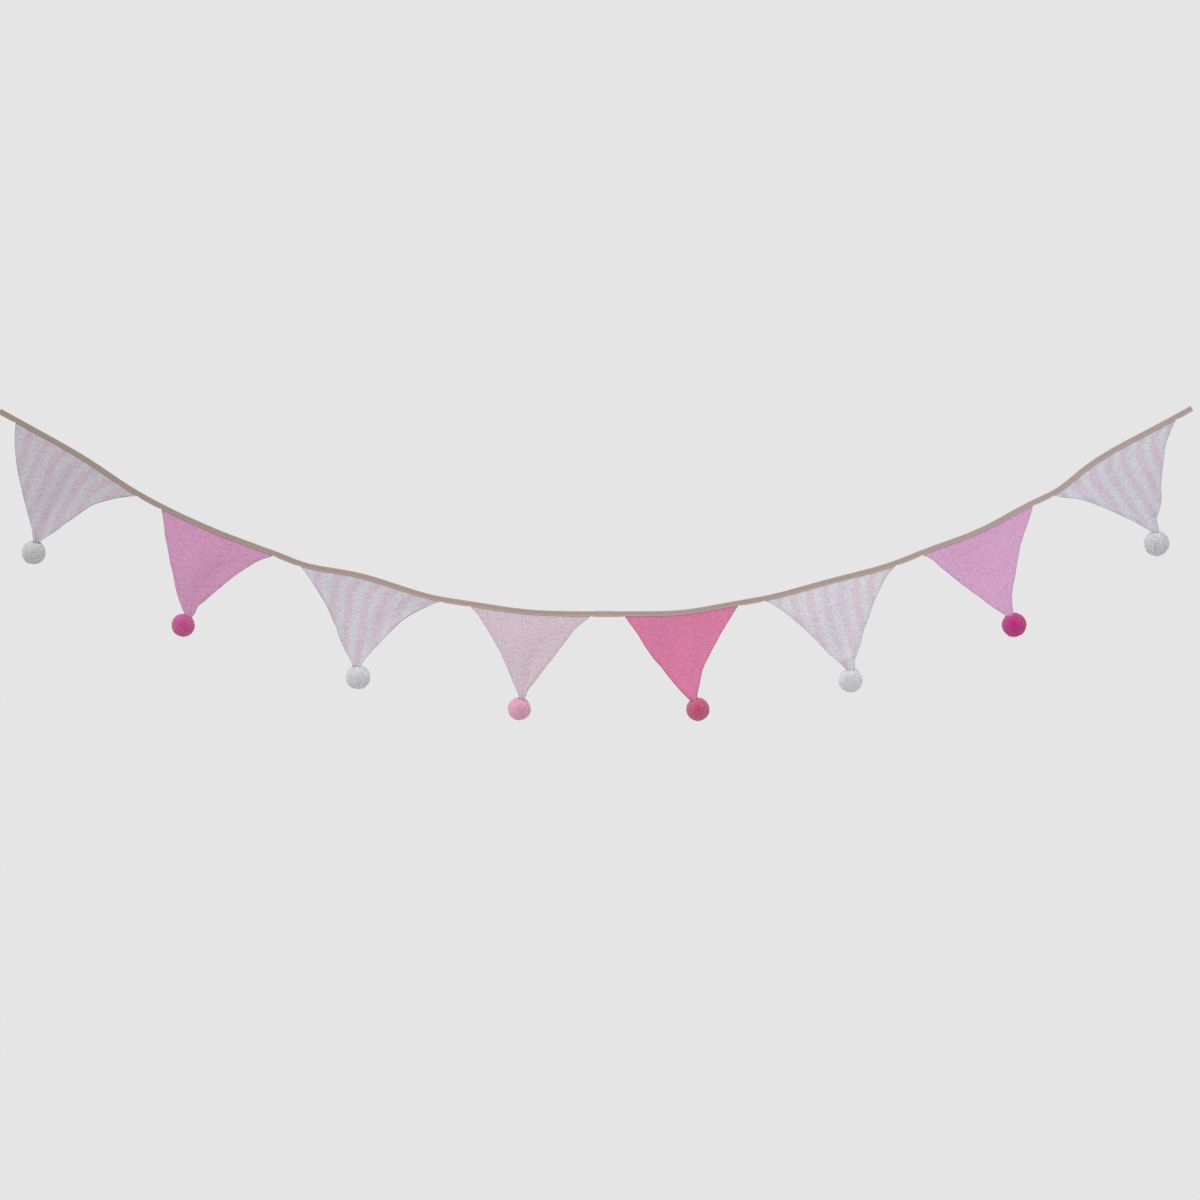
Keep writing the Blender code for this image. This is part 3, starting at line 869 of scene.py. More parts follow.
@dataclass
class Pennant:
    """One flag of crinkled cotton, hemmed at both sides, from inside the tape into its pompom."""
    number: int
    hang: Hang
    route: TapeRoute
    finish: ClothFinish
    cloth: float = 0.0007
    hem: float = 0.0016             # the cloth turned over twice along a side
    hem_width: float = 0.0040
    hem_step: float = 0.0012        # width over which the cloth thickens into its hem
    tuck: float = 0.0055            # cloth held inside the tape
    tuck_flat: float = 0.3          # share of the folds' depth that is left in there
    in_pile: float = 0.0040         # length of cloth inside the pile
    pressed: Tuple[float, float] = (0.35, 0.65)         # crinkles at the tape, and what comes back
    pressed_over: float = 0.04      # share of the depth over which they come back
    kept_ends: Tuple[float, float] = (0.05, 0.06)       # shares at top and foot that keep their line
    fold_power: float = 1.5         # above 1 a fold dies away sooner
    crease_past: float = 0.1        # share of its length by which a crease runs on
    crease_fade: float = 0.4        # share over which it dies away
    neck_width: float = 0.0104
    neck_drawn: float = 0.70        # share of that width left at the very end
    solid_columns: int = 12         # columns of the plain solid, by which its folds are placed
    pile_root: float = 0.72         # radius at which the plain solid's locks start, as a share
    ball_behind: float = 0.0060     # how far the pompom's centre lies behind the neck
    outside_root: float = 0.0012    # how far outside that radius the cloth ends
    grid: float = 0.0017            # spacing of the mesh's points
    crinkle: float = 0.00034        # height of the crinkles
    coarse: Tuple[float, float] = (0.0095, 0.0031)      # size of the coarse crinkles
    fine: Tuple[float, float] = (0.0042, 0.0030)        # size of the fine ones
    mix: Tuple[float, float] = (1.5, 0.9)               # shares of coarse and fine crinkles
    gather: float = 0.00040         # puckers just below the tape
    gather_pitch: float = 0.0090
    gather_drift: float = 0.030     # length over which that pitch varies
    gather_fades: float = 0.0100    # depth over which the puckers die away
    pleat: float = 0.00055          # pleats where the cloth is drawn into the neck
    pleats: float = 2.5             # number of them
    pleat_span: Tuple[float, float] = (0.70, 0.25)      # where they start, and over what share
    edge_waver: float = 0.00035     # how far a side strays from its curve all along
    waver_reach: float = 0.012      # how far into the cloth that is felt
    waver_run: float = 0.011
    bend_reach: float = 0.020       # how far into the cloth a bend of its side is felt
    bend_most: float = 0.7          # that reach as a share of a narrow width, at most
    seam_inside: float = 0.0009     # distance of the seam from the hem's inner edge
    seam_most: float = 0.3          # its inset as a share of a narrow width, at most
    stitch_pitch: float = 0.0032
    sewn: Tuple[float, float] = (0.03, 0.95)            # shares of the side that is sewn
    stitch_sunk: float = 0.00002    # how deep a stitch lies in the cloth
    stitch_aim: float = 0.006       # share of the side over which its direction is taken
    chords: int = 40                # short lines by which a side is measured

    def __post_init__(self) -> None:
        """Work out the corners and the pennant's own axes."""
        left_length, right_length = self.route.corners[self.number - 1]
        self.span = (left_length, right_length)
        self.top_left = self.route.at(left_length)[0]
        self.top_right = self.route.at(right_length)[0]
        self.neck = Vector((self.hang.neck_x, self.hang.neck_y, self.hang.neck_z + self.route.drop))
        self.middle = (self.top_left + self.top_right) / 2
        self.across_axis = (self.top_right - self.top_left).normalized()
        self.down_axis = Vector((self.across_axis.z, 0.0, -self.across_axis.x))
        self.depth = (Vector((self.neck.x, 0.0, self.neck.z)) - self.middle).dot(self.down_axis)

    def ball_centre(self) -> Vector:
        """Centre of this pennant's pompom."""
        return Vector((self.hang.ball_x, self.hang.neck_y + self.ball_behind,
                       self.hang.ball_z + self.route.drop))

    def neck_end(self) -> Vector:
        """Find the middle of the cloth's very end, in the pile.

        Returns:
            The point.
        """
        centre = self.ball_centre()
        outward = (self.neck - centre).normalized()
        return centre + outward * (self.hang.ball_diameter / 2 * self.pile_root + self.outside_root)

    @staticmethod
    def side(corner: Vector, neck: Vector, leaves: float, arrives: float, inward: int,
             share: float) -> Vector:
        """Point on one side, a cubic curve that leaves and arrives at the given angles.

        Args:
            corner: Where the side starts, on the tape.
            neck: Where it ends.
            leaves: Angle below level at the corner, in degrees.
            arrives: Angle below level at the neck.
            inward: 1 for the left side, -1 for the right one.
            share: How far down the side.

        Returns:
            The point.
        """
        reach = (neck - corner).length / 3
        leaving, arriving = (
            Vector((inward * math.cos(math.radians(angle)), 0.0, -math.sin(math.radians(angle))))
            for angle in (leaves, arrives))
        first, second = corner + leaving * reach, neck - arriving * reach
        rest = 1 - share
        return (corner * rest**3 + first * (3 * rest**2 * share)
                + second * (3 * rest * share**2) + neck * share**3)

    def sides(self, down: float) -> Tuple[Vector, Vector]:
        """Find the two ends of the cloth's width.

        Args:
            down: Share of the way down.

        Returns:
            The ends at the left and at the right side.
        """
        half = Vector((self.neck_width / 2, 0.0, 0.0))
        neck = Vector((self.neck.x, 0.0, self.neck.z))
        left = self.side(self.top_left, neck - half, self.hang.left_leaves, self.hang.left_arrives,
                         1, down)
        right = self.side(self.top_right, neck + half, self.hang.right_leaves,
                          self.hang.right_arrives, -1, down)
        return left, right

    def fold_share(self, share: float, width: float) -> float:
        """Find the share by which the plain solid, with hems one column wide, places its folds.

        Args:
            share: Share of the width from the left side.
            width: The cloth's width there.

        Returns:
            The share that the folds go by.
        """
        column = 1 / self.solid_columns
        hem = min(self.hem_width / width, column)
        if share < hem:
            return share / hem * column
        if share > 1 - hem:
            return 1 - (1 - share) / hem * column
        return column + (share - hem) / (1 - 2 * hem) * (1 - 2 * column)

    def fold_depth(self, across: float, down: float) -> float:
        """Add up how far the soft folds push the cloth.

        Args:
            across: Share of the width from the left side, as the folds go by it.
            down: Share of the way down.

        Returns:
            Depth to the back, in metres.
        """
        depth = 0.0
        for fold in FOLDS:
            if fold.pennant == self.number and fold.top < down < fold.foot:
                run = math.sin(math.pi * (down - fold.top) / (fold.foot - fold.top))
                depth += fold.lift * run**self.fold_power * bell(across - fold.across, fold.width)
        return depth

    def crease_depth(self, share: float, down: float, width: float) -> float:
        """Add up how far the sharper creases push the cloth.

        Args:
            share: Share of the width from the left side.
            down: Share of the way down.
            width: The cloth's width there.

        Returns:
            Depth to the back, in metres.
        """
        depth = 0.0
        for crease in CREASES:
            if crease.pennant != self.number:
                continue
            start = Vector((crease.from_across * width, crease.from_down * self.depth))
            end = Vector((crease.to_across * width, crease.to_down * self.depth))
            here = Vector((share * width, down * self.depth))
            run = end - start
            along = (here - start).dot(run) / run.length_squared
            past = self.crease_past
            if -past < along < 1 + past:
                off = (here - start - run * along).length
                fade = (smooth_step((1 + past - along) / self.crease_fade)
                        * smooth_step((along + past) / past))
                depth += crease.lift * fade * bell(off, crease.width)
        return depth

    def bent(self, share: float, depth_share: float, width: float) -> float:
        """Add up how far the bends of both sides move a point of the cloth.

        Args:
            share: Share of the width from the left side.
            depth_share: Share of the pennant's depth.
            width: The cloth's width there.

        Returns:
            The move to the right, in metres.
        """
        reach = min(self.bend_reach / width, self.bend_most)
        moved = 0.0
        for bend in BENDS:
            if bend.pennant == self.number:
                inward = share if bend.side is Side.LEFT else 1 - share
                felt = 1 - smooth_step(inward / reach)
                moved += bend.push * felt * bell(depth_share - bend.down, bend.width)
        return moved

    def fine_depth(self, across: float, below: float, share: float, down: float) -> float:
        """Crinkles all over, puckers under the tape and pleats into the neck.

        Args:
            across: Place along the upper edge, in metres.
            below: Distance below the tape, in metres.
            share: Share of the width from the left side.
            down: Share of the way down.

        Returns:
            Depth to the back, in metres.
        """
        seed = self.number * 7.3
        coarse = ripple(across / self.coarse[0], below / self.coarse[1], seed)
        fine = ripple(across / self.fine[0], below / self.fine[1], seed + 3.1)
        crinkle = self.crinkle * (coarse * self.mix[0] + fine * self.mix[1])
        swing = 2 * ripple(across / self.gather_drift, 0.0, seed + 5.0)
        pucker = math.sin(across * 2 * math.pi / self.gather_pitch + swing * 2)
        gather = self.gather * pucker * math.exp(-below / self.gather_fades)
        drawn = smooth_step((down - self.pleat_span[0]) / self.pleat_span[1])
        turns = self.pleats * share + 0.13 * self.number
        pleat = self.pleat * drawn * math.cos(2 * math.pi * turns)
        return crinkle + gather + pleat

    def point(self, share: float, down: float) -> Vector:
        """Find a point of the cloth between the tape and the neck, with all its folds.

        Args:
            share: Share of the width from the left side.
            down: Share of the way down.

        Returns:
            The point, on the middle of the cloth's thickness.
        """
        left, right = self.sides(down)
        width = (right - left).length
        on_tape = self.route.at(self.span[0] + (self.span[1] - self.span[0]) * share)[0]
        arch = on_tape - self.top_left.lerp(self.top_right, share)
        place = left.lerp(right, share) + arch * (1 - down)
        across = self.fold_share(share, width)
        billow = self.hang.billow * math.sin(math.pi * down) * math.sin(math.pi * across)
        flat = place - self.middle
        along, below = flat.dot(self.across_axis), max(flat.dot(self.down_axis), 0.0)
        near_side = 1 - smooth_step(min(share, 1 - share) * width / self.waver_reach)
        run = down * self.depth / self.waver_run
        waver = self.edge_waver * near_side * ripple(run, share * 3, self.number * 2.7)
        held = (smooth_step(down / self.kept_ends[0])
                * smooth_step((1 - down) / self.kept_ends[1]))
        place += self.across_axis * (waver * held + self.bent(share, below / self.depth, width))
        free = self.pressed[0] + self.pressed[1] * smooth_step(down / self.pressed_over)
        place.y = (self.hang.neck_y * down + billow + self.fold_depth(across, down)
                   + held * self.crease_depth(share, down, width)
                   + self.fine_depth(along, below, share, down) * free)
        return place

    def rows(self) -> List[Callable[[float], Vector]]:
        """List the rows of points: the tuck, the cloth that shows, and the end in the pile.

        Returns:
            One function for each row, which gives its point at a share of the width.
        """
        count = round(self.depth / self.grid)
        end = self.neck_end()

        def tucked(lift: float) -> Callable[[float], Vector]:
            """Make the row that lies inside the tape.

            Args:
                lift: Its height above the tape's lower edge.

            Returns:
                The row.
            """
            def place(share: float) -> Vector:
                """Point of the row at a share of the width."""
                up = self.route.at(self.span[0] + (self.span[1] - self.span[0]) * share)[2]
                return self.point(share, 0.0) * Vector((1, self.tuck_flat, 1)) + up * lift
            return place

        def shown(down: float) -> Callable[[float], Vector]:
            """Row between the tape and the neck."""
            return lambda share: self.point(share, down)

        def in_pile(share_in: float) -> Callable[[float], Vector]:
            """Make a row that lies in the pile.

            Args:
                share_in: Share of the way from the neck to the cloth's end.

            Returns:
                The row.
            """
            def place(share: float) -> Vector:
                """Find a point of the row.

                Args:
                    share: Share of the width from the left side.

                Returns:
                    The point.
                """
                foot = self.point(share, 1.0)
                drawn = (foot - self.neck) * (1 - (1 - self.neck_drawn) * share_in)
                return self.neck.lerp(end, share_in) + drawn
            return place

        rows = [tucked(self.tuck), tucked(self.tuck / 2)]
        rows += [shown(step / count) for step in range(count + 1)]
        rows += [in_pile(0.5), in_pile(1.0)]
        return rows

    def build_cloth(self) -> bpy.types.Object:
        """Make the cloth as one sheet with its hems.

        Returns:
            The sheet, with its thickness as a modifier.
        """
        rows = self.rows()
        columns = round((self.top_right - self.top_left).length / self.grid)
        shape = bmesh.new()
        bmesh.ops.create_grid(shape, x_segments=columns, y_segments=len(rows) - 1, size=0.5)
        hem = shape.verts.layers.deform.verify()
        from_edge = shape.verts.layers.float.new("from_edge")
        stripe = shape.verts.layers.float.new("stripe")
        uv = shape.loops.layers.uv.new("cloth")
        flat: Dict[bmesh.types.BMVert, Tuple[float, float]] = {}
        spots = [(vert, round((vert.co.x + 0.5) * columns) / columns,
                  round((0.5 - vert.co.y) * (len(rows) - 1))) for vert in shape.verts]
        widths = [(row(1.0) - row(0.0)).length for row in rows]
        for vert, share, row in spots:
            place = rows[row](share)
            off = place - self.middle
            along, below = off.dot(self.across_axis), off.dot(self.down_axis)
            edge = min(share, 1 - share) * widths[row]
            turned = smooth_step((self.hem_width - edge) / self.hem_step)
            place.y += (self.hem - self.cloth) / 2 * turned * (1 if 1 < row < len(rows) - 3 else 0)
            vert.co = place
            vert[hem][0] = turned
            vert[from_edge] = edge
            if self.number in STRIPES:
                vert[stripe] = STRIPES[self.number].turns(along, below)
            flat[vert] = (along, below)
        for face in shape.faces:
            for loop in face.loops:
                loop[uv].uv = flat[loop.vert]
        bmesh.ops.reverse_faces(shape, faces=shape.faces)
        made = new_object(f"pennant_{self.number}_cloth", shape, self.finish.paint())
        made.vertex_groups.new(name="hem")
        thicken = made.modifiers.new("cloth thickness", "SOLIDIFY")
        thicken.thickness = self.hem
        thicken.offset = 0.0
        thicken.vertex_group = "hem"
        thicken.thickness_vertex_group = self.cloth / self.hem
        return made

    def side_length(self, side: Side) -> float:
        """Length of one side, by short chords."""
        ends = [self.sides(step / self.chords)[side.value] for step in range(self.chords + 1)]
        return sum((after - before).length for before, after in zip(ends, ends[1:]))

    def stitch_places(self) -> List[Tuple[Vector, Vector, Vector]]:
        """Place the stitches of the two hems, on both faces.

        Returns:
            Middle, direction and outward way of every stitch.
        """
        places = []
        start, end = self.sewn
        for side in Side:
            count = int(self.side_length(side) * (end - start) / self.stitch_pitch)
            for step in range(count):
                down = start + (end - start) * (step + 0.5) / count
                here = self.seam_point(down, side)
                ahead = self.seam_point(down + self.stitch_aim, side)
                along = (ahead - here).normalized()
                for face in Face:
                    out = Vector((0.0, float(face.value), 0.0))
                    thickness = self.cloth / 2 if face is Face.FRONT else self.hem - self.cloth / 2
                    places.append((here + out * (thickness - self.stitch_sunk), along, out))
        return places

    def seam_point(self, down: float, side: Side) -> Vector:
        """Find a point on the line where one hem is sewn.

        Args:
            down: Share of the way down.
            side: The side whose hem it is.

        Returns:
            The point.
        """
        left, right = self.sides(down)
        inset = min((self.hem_width - self.seam_inside) / (right - left).length, self.seam_most)
        return self.point(inset if side is Side.LEFT else 1 - inset, down)

    def build(self) -> None:
        cloth = self.build_cloth()
        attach(cloth, BODY)
        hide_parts(f"flag_{self.number}")
        thread = ThreadFinish(f"{self.finish.slot}_{self.number}", self.finish.ground)
        sewing = Stitches(f"pennant_{self.number}_stitches", thread.paint(), self.finish.slot)
        sewn = sewing.build(self.stitch_places())


@dataclass(frozen=True)
class Twist:
    """One uneven place of the tape."""
    x: float                # place along the bunting
    width: float            # how far it reaches
    rise: float             # how far the tape's upper edge stands up
    lean: float             # how far that edge leans to the back (+) or to the front (-)
    shade: float            # how much paler it is painted, a painted highlight where the twist catches the light


TWISTS = (
    Twist(0.006, 0.016, 0.0007, 0.0016, 0.04),
    Twist(-0.445, 0.014, 0.0003, -0.0010, 0.00),
    Twist(-0.632, 0.012, -0.0002, 0.0010, 0.00),
    Twist(0.212, 0.012, 0.0003, -0.0010, 0.00),
    Twist(0.620, 0.014, 0.0002, 0.0012, 0.00),
    Twist(-0.205, 0.014, 0.0002, 0.0008, 0.02),
)


TAPE_OUTSIDE = range(4, 18)         # the section's points that lie on the tape's outer faces
TAPE_SEAM = {Face.FRONT: 6, Face.BACK: 15}      # the section's points on the line that is sewn


@dataclass
class HeaderTape:
    """Binding tape folded over the pennants' upper edges, its own edges turned in, sewn through."""
    route: TapeRoute
    finish: TapeFinish
    height: float = 0.0080
    closed: float = 0.0024          # thickness where it is bare
    over_cloth: float = 0.0038      # thickness over a pennant
    swell: float = 0.0100           # length over which it changes
    layer: float = 0.0005
    lip: float = 0.0028             # width of an edge that is turned in
    lip_gap: float = 0.00008
    fold_round: float = 0.0004      # height of the rounding where the lip turns in
    rides_up: float = 0.0009        # how much higher its edge lies over a pennant
    step: float = 0.0016            # spacing of the mesh's points
    flat_step: float = 0.0012       # their spacing round the section on the flat tape
    wander: Tuple[float, float] = (0.00022, 0.045)      # height and length of its slow waves
    leaning: Tuple[float, float] = (0.00028, 0.030)     # depth and length of its slow leaning
    bulges: Tuple[float, float] = (0.00010, 0.0060)
    groove: Tuple[float, float] = (0.00022, 0.0009)     # depth and half width under the stitches
    seam_height: float = 0.0023
    stitch_pitch: float = 0.0033
    unsewn: float = 0.0080
    stitch_length: float = 0.0026

    def inside(self, length: float) -> float:
        """Tell whether a pennant is inside the tape.

        Args:
            length: Length along the tape.

        Returns:
            1 over a pennant, 0 where the tape is bare, and between them near a corner.
        """
        most = 0.0
        for left, right in self.route.corners:
            entering = smooth_step((length - left + self.swell) / self.swell)
            leaving = smooth_step((right + self.swell - length) / self.swell)
            most = max(most, entering * leaving)
        return most

    def section(self, thickness: float) -> List[Tuple[float, float]]:
        """Draw the folded layer, from the top of the front lip round to the top of the back one.

        Args:
            thickness: Thickness of the folded tape.

        Returns:
            Depth and height of each point.
        """
        face = thickness / 2 - self.layer / 2
        lip = face - self.layer - self.lip_gap
        turn = (face + lip) / 2
        low = self.layer / 2
        round_at = low + self.fold_round
        front = [(-lip, self.lip), (-lip, self.lip * 0.55), (-lip, round_at), (-turn, low),
                 (-face, round_at), (-face, self.height * 0.20), (-face, self.seam_height),
                 (-face, self.height * 0.42), (-face, self.height * 0.62),
                 (-face * 0.86, self.height * 0.86), (-face * 0.35, self.height - low)]
        return front + [(-depth, height) for depth, height in reversed(front)]

    def point(self, length: float, index: int) -> Tuple[Vector, float]:
        """Find one point of the tape's layer.

        Args:
            length: Length along the tape.
            index: Number of the point in the section.

        Returns:
            The point, and its share of the tape's height.
        """
        base, _, up = self.route.at(length)
        inside = self.inside(length)
        thickness = self.closed + (self.over_cloth - self.closed) * inside
        depth, height = self.section(thickness)[index]
        share = height / self.height
        rise = lean = 0.0
        for twist in TWISTS:
            near = bell(base.x - twist.x, twist.width)
            rise += twist.rise * near
            lean += twist.lean * near
        height += share * (rise + self.wander[0] * ripple(length / self.wander[1], 0.0, 1.7))
        height += (1 - share) * self.rides_up * inside
        depth += lean * share**2 + self.leaning[0] * ripple(length / self.leaning[1], share, 4.4)
        if index in TAPE_OUTSIDE:
            bulge = self.bulges[0] * ripple(length / self.bulges[1], share * 2.5, 9.1)
            pull = self.groove[0] * bell(height - self.seam_height, self.groove[1])
            pulled = pull * (0.6 + 0.4 * math.cos(2 * math.pi * length / self.stitch_pitch))
            depth += (bulge - pulled) * (1 if depth > 0 else -1)
        place = base + up * height
        place.y = depth
        return place, share

    def build_cloth(self) -> bpy.types.Object:
        """Make the folded strip.

        Returns:
            The strip, with its thickness as a modifier.
        """
        steps = round(self.route.length / self.step)
        corners = len(self.section(self.closed))
        shape = bmesh.new()
        bmesh.ops.create_grid(shape, x_segments=steps, y_segments=corners - 1, size=0.5)
        height = shape.verts.layers.float.new("height")
        shade = shape.verts.layers.float.new("shade")
        along = shape.verts.layers.float.new("along")
        uv = shape.loops.layers.uv.new("cloth")
        flat: Dict[bmesh.types.BMVert, Tuple[float, float]] = {}
        for vert in shape.verts:
            length = round((vert.co.x + 0.5) * steps) / steps * self.route.length
            index = round((vert.co.y + 0.5) * (corners - 1))
            place, share = self.point(length, index)
            vert.co = place
            vert[height] = share
            vert[shade] = self.shade(place.x)
            vert[along] = length / self.route.length
            flat[vert] = (length, index * self.flat_step)
        for face in shape.faces:
            for loop in face.loops:
                loop[uv].uv = flat[loop.vert]
        bmesh.ops.recalc_face_normals(shape, faces=shape.faces)
        made = new_object("tape_cloth", shape, self.finish.paint())
        thicken = made.modifiers.new("tape thickness", "SOLIDIFY")
        thicken.thickness = self.layer
        thicken.offset = 0.0
        return made

    @staticmethod
    def shade(x: float) -> float:
        """Painted highlight: the tape is painted paler where it twists and catches the light."""
        return 1.0 + sum(twist.shade * bell(x - twist.x, twist.width) for twist in TWISTS)

    def stitch_places(self) -> List[Tuple[Vector, Vector, Vector]]:
        """Place the stitches, on both faces.

        Returns:
            Middle, direction and outward way of every stitch.
        """
        places = []
        count = int((self.route.length - self.unsewn) / self.stitch_pitch)
        for step in range(count):
            length = (step + 1.5) * self.stitch_pitch
            along = self.route.at(length)[1]
            for face, index in TAPE_SEAM.items():
                out = Vector((0.0, float(face.value), 0.0))
                places.append((self.point(length, index)[0] + out * self.layer / 2, along, out))
        return places

    def build(self) -> None:
        cloth = self.build_cloth()
        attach(cloth, BODY)
        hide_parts("header_tape")
        thread = ThreadFinish(self.finish.slot, self.finish.edge)
        sewing = Stitches("tape_stitches", thread.paint(), self.finish.slot,
                          length=self.stitch_length)
        sewn = sewing.build(self.stitch_places())


@dataclass
class Pompom:
    """A ball of cut yarn, sewn to the end of a pennant, its pile parted by the cloth."""
    pennant: Pennant
    finish: YarnFinish
    strands: int = 4600
    locks: int = 900                # bunches that the strands gather in
    hairs: int = 500                # stray fibres
    root: float = 0.70              # radius at which the strands start, as a share of the ball's
    core: float = 0.89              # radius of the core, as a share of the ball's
    core_shade: float = 0.25        # place on a strand whose colour the core has: the darker packed colour, painted shade between the strands
    underside_shade: float = 0.05         # how much darker the pile is painted underneath, a painted shade
    parted: float = 0.955           # reach of the pile in front of the neck, as a share
    thick: float = 0.00074          # radius of a strand
    gathered: float = 0.24          # how far the strands lean to the middle of their bunch
    uneven: float = 0.030           # how far the ball strays from round
    slot_shares: Tuple[float, ...] = (0.70, 0.80, 0.90, 1.0)    # radii at which a strand is tested
    slot_half: float = 0.0008       # half thickness of the slot that is left for the cloth
    slot_foot: float = 0.0005       # how far the slot reaches below the cloth's end
    slot_side: float = 0.55         # half its width at the core, as a share of the neck's
    core_slot: float = 0.0022       # half thickness of the slot in the core
    core_dent: float = 0.88         # how far the core is pressed in there
    strand_scatter: float = 0.022
    bunch_scatter: float = 0.035
    hair_scatter: Tuple[float, float] = (0.06, 0.10)            # of its root and of its tip
    hair_thick: float = 0.22        # radius of a stray fibre, as a share of a strand's
    bunch_uneven: float = 0.030     # how much shorter a bunch may be
    strand_uneven: float = 0.025    # how much shorter a strand may be
    bunch_tone: float = 0.16        # how much one bunch differs in tone from another
    strand_tone: float = 0.16       # how much one strand does
    strand_fat: Tuple[float, float] = (0.85, 1.2)       # thinnest and thickest strand
    tip_thin: float = 0.90          # thickness of a strand's tip
    hair_reach: Tuple[float, float] = (0.99, 1.035)     # shortest and longest stray fibre
    hair_tone: float = 1.05
    underside_shade_from: float = 0.35         # height below which the pile is painted darker as painted shade, 1 at the top
    lumps: Tuple[float, float] = (1.3, 4.5)             # how close the wide and the small lumps lie
    lump_mix: Tuple[float, float] = (0.9, 0.8)          # how high they stand
    parted_span: Tuple[float, float] = (0.45, 0.3)      # where the parting starts, over what share

    def __post_init__(self) -> None:
        """Take the ball's place and the neck's from the pennant."""
        self.centre = self.pennant.ball_centre()
        self.radius = self.pennant.hang.ball_diameter / 2
        self.dice = random.Random(self.pennant.number * 101)

    @staticmethod
    def spread(count: int) -> List[Vector]:
        """Find directions that lie evenly over a ball.

        Args:
            count: How many.

        Returns:
            Unit directions, from the top down.
        """
        turn = math.pi * (3 - math.sqrt(5))
        directions = []
        for index in range(count):
            height = 1 - (2 * index + 1) / count
            across = math.sqrt(1 - height * height)
            angle = turn * index
            directions.append(Vector((across * math.cos(angle), across * math.sin(angle), height)))
        return directions

    def jitter(self, size: float) -> Vector:
        """A random small step in any direction."""
        return Vector([self.dice.gauss(0.0, size) for _ in range(3)])

    def in_the_way(self, direction: Vector) -> bool:
        """Tell whether a strand would run through the cloth that enters the pile.

        Args:
            direction: The strand's direction.

        Returns:
            True where it would.
        """
        neck, end = self.pennant.neck, self.pennant.neck_end()
        for share in self.slot_shares:
            place = self.centre + direction * (self.radius * share)
            beside = abs(place.x - (neck.x + end.x) / 2) < self.pennant.neck_width / 2
            level = abs(place.y - neck.y) < self.slot_half
            if beside and level and place.z > end.z - self.slot_foot:
                return True
        return False

    def reach(self, direction: Vector) -> float:
        """Find the radius that the pile has in one direction.

        Args:
            direction: The direction.

        Returns:
            The radius, smaller in front of the neck.
        """
        seed = self.pennant.number * 3.3
        wide = noise.noise(direction * self.lumps[0] + Vector((seed, 0.0, 0.0)))
        small = noise.noise(direction * self.lumps[1] + Vector((0.0, seed, 0.0)))
        lump = wide * self.lump_mix[0] + small * self.lump_mix[1]
        reach = self.radius * (1 + self.uneven * lump)
        tip = self.centre + direction * reach
        neck = self.pennant.neck
        beside = abs(tip.x - neck.x) < self.pennant.neck_width * self.slot_side
        if tip.y < neck.y and beside and tip.z > self.centre.z:
            start, over = self.parted_span
            risen = tip.z - self.centre.z - self.radius * start
            above = smooth_step(risen / (self.radius * over))
            reach *= 1 - (1 - self.parted) * above
        return reach

    def build_pile(self) -> bpy.types.Object:
        """Make the strands, the stray fibres and the core as one mesh.

        Returns:
            The pile.
        """
        bunches = self.spread(self.locks)
        tree = kdtree.KDTree(len(bunches))
        for index, bunch in enumerate(bunches):
            tree.insert((bunch + self.jitter(self.bunch_scatter)).normalized(), index)
        tree.balance()
        strands = []
        for direction in self.spread(self.strands):
            direction = (direction + self.jitter(self.strand_scatter)).normalized()
            if self.in_the_way(direction):
                continue
            bunch, index, _ = tree.find(direction)
            tip_way = direction.lerp(bunch, self.gathered).normalized()
            bunch_dice = random.Random(index * 13 + self.pennant.number)
            length = self.reach(tip_way) * (1 - self.bunch_uneven * bunch_dice.random()
                                            - self.strand_uneven * self.dice.random())
            shade = (1 + self.bunch_tone * (bunch_dice.random() - 0.5)
                     + self.strand_tone * (self.dice.random() - 0.5))
            # Painted shade on the underside of the ball.
            shade *= 1 - self.underside_shade * smooth_step(self.underside_shade_from - direction.z)
            thick = self.thick * self.dice.uniform(*self.strand_fat)
            strands.append((direction, tip_way, length, thick, shade))
        for direction in self.spread(self.hairs):
            direction = (direction + self.jitter(self.hair_scatter[0])).normalized()
            if self.in_the_way(direction):
                continue
            tip_way = (direction + self.jitter(self.hair_scatter[1])).normalized()
            length = self.reach(tip_way) * self.dice.uniform(*self.hair_reach)
            strands.append((direction, tip_way, length, self.thick * self.hair_thick, self.hair_tone))
        shape = bmesh.new()
        bmesh.ops.create_cone(shape, cap_ends=True, cap_tris=False, segments=3, radius1=0.8,
                              radius2=1.0, depth=1.0)
        number = copies(shape, len(strands))
        reach = shape.verts.layers.float.new("reach")
        shade = shape.verts.layers.float.new("shade")
        frames = [self.strand_frame(*strand[:2]) for strand in strands]
        for vert in shape.verts:
            direction, tip_way, length, thick, tone = strands[vert[number]]
            side, other = frames[vert[number]]
            share = vert.co.z + 0.5
            radius = self.radius * self.root + (length - self.radius * self.root) * share
            way = direction.lerp(tip_way, share).normalized()
            fat = thick * (1.0 if share < 0.5 else self.tip_thin)
            vert.co = self.centre + way * radius + (side * vert.co.x + other * vert.co.y) * fat
            vert[reach] = share
            vert[shade] = tone
        self.add_core(shape, reach, shade)
        return new_object(f"pompom_{self.pennant.number}_yarn", shape, self.finish.paint())

    def strand_frame(self, direction: Vector, tip_way: Vector) -> Tuple[Vector, Vector]:
        """Find two directions square to a strand, turned at random.

        Args:
            direction: Direction of its root.
            tip_way: Direction of its tip.

        Returns:
            The two directions.
        """
        along = (direction + tip_way).normalized()
        side = along.orthogonal().normalized()
        other = along.cross(side)
        turn = self.dice.uniform(0, 2 * math.pi)
        return (side * math.cos(turn) + other * math.sin(turn),
                other * math.cos(turn) - side * math.sin(turn))

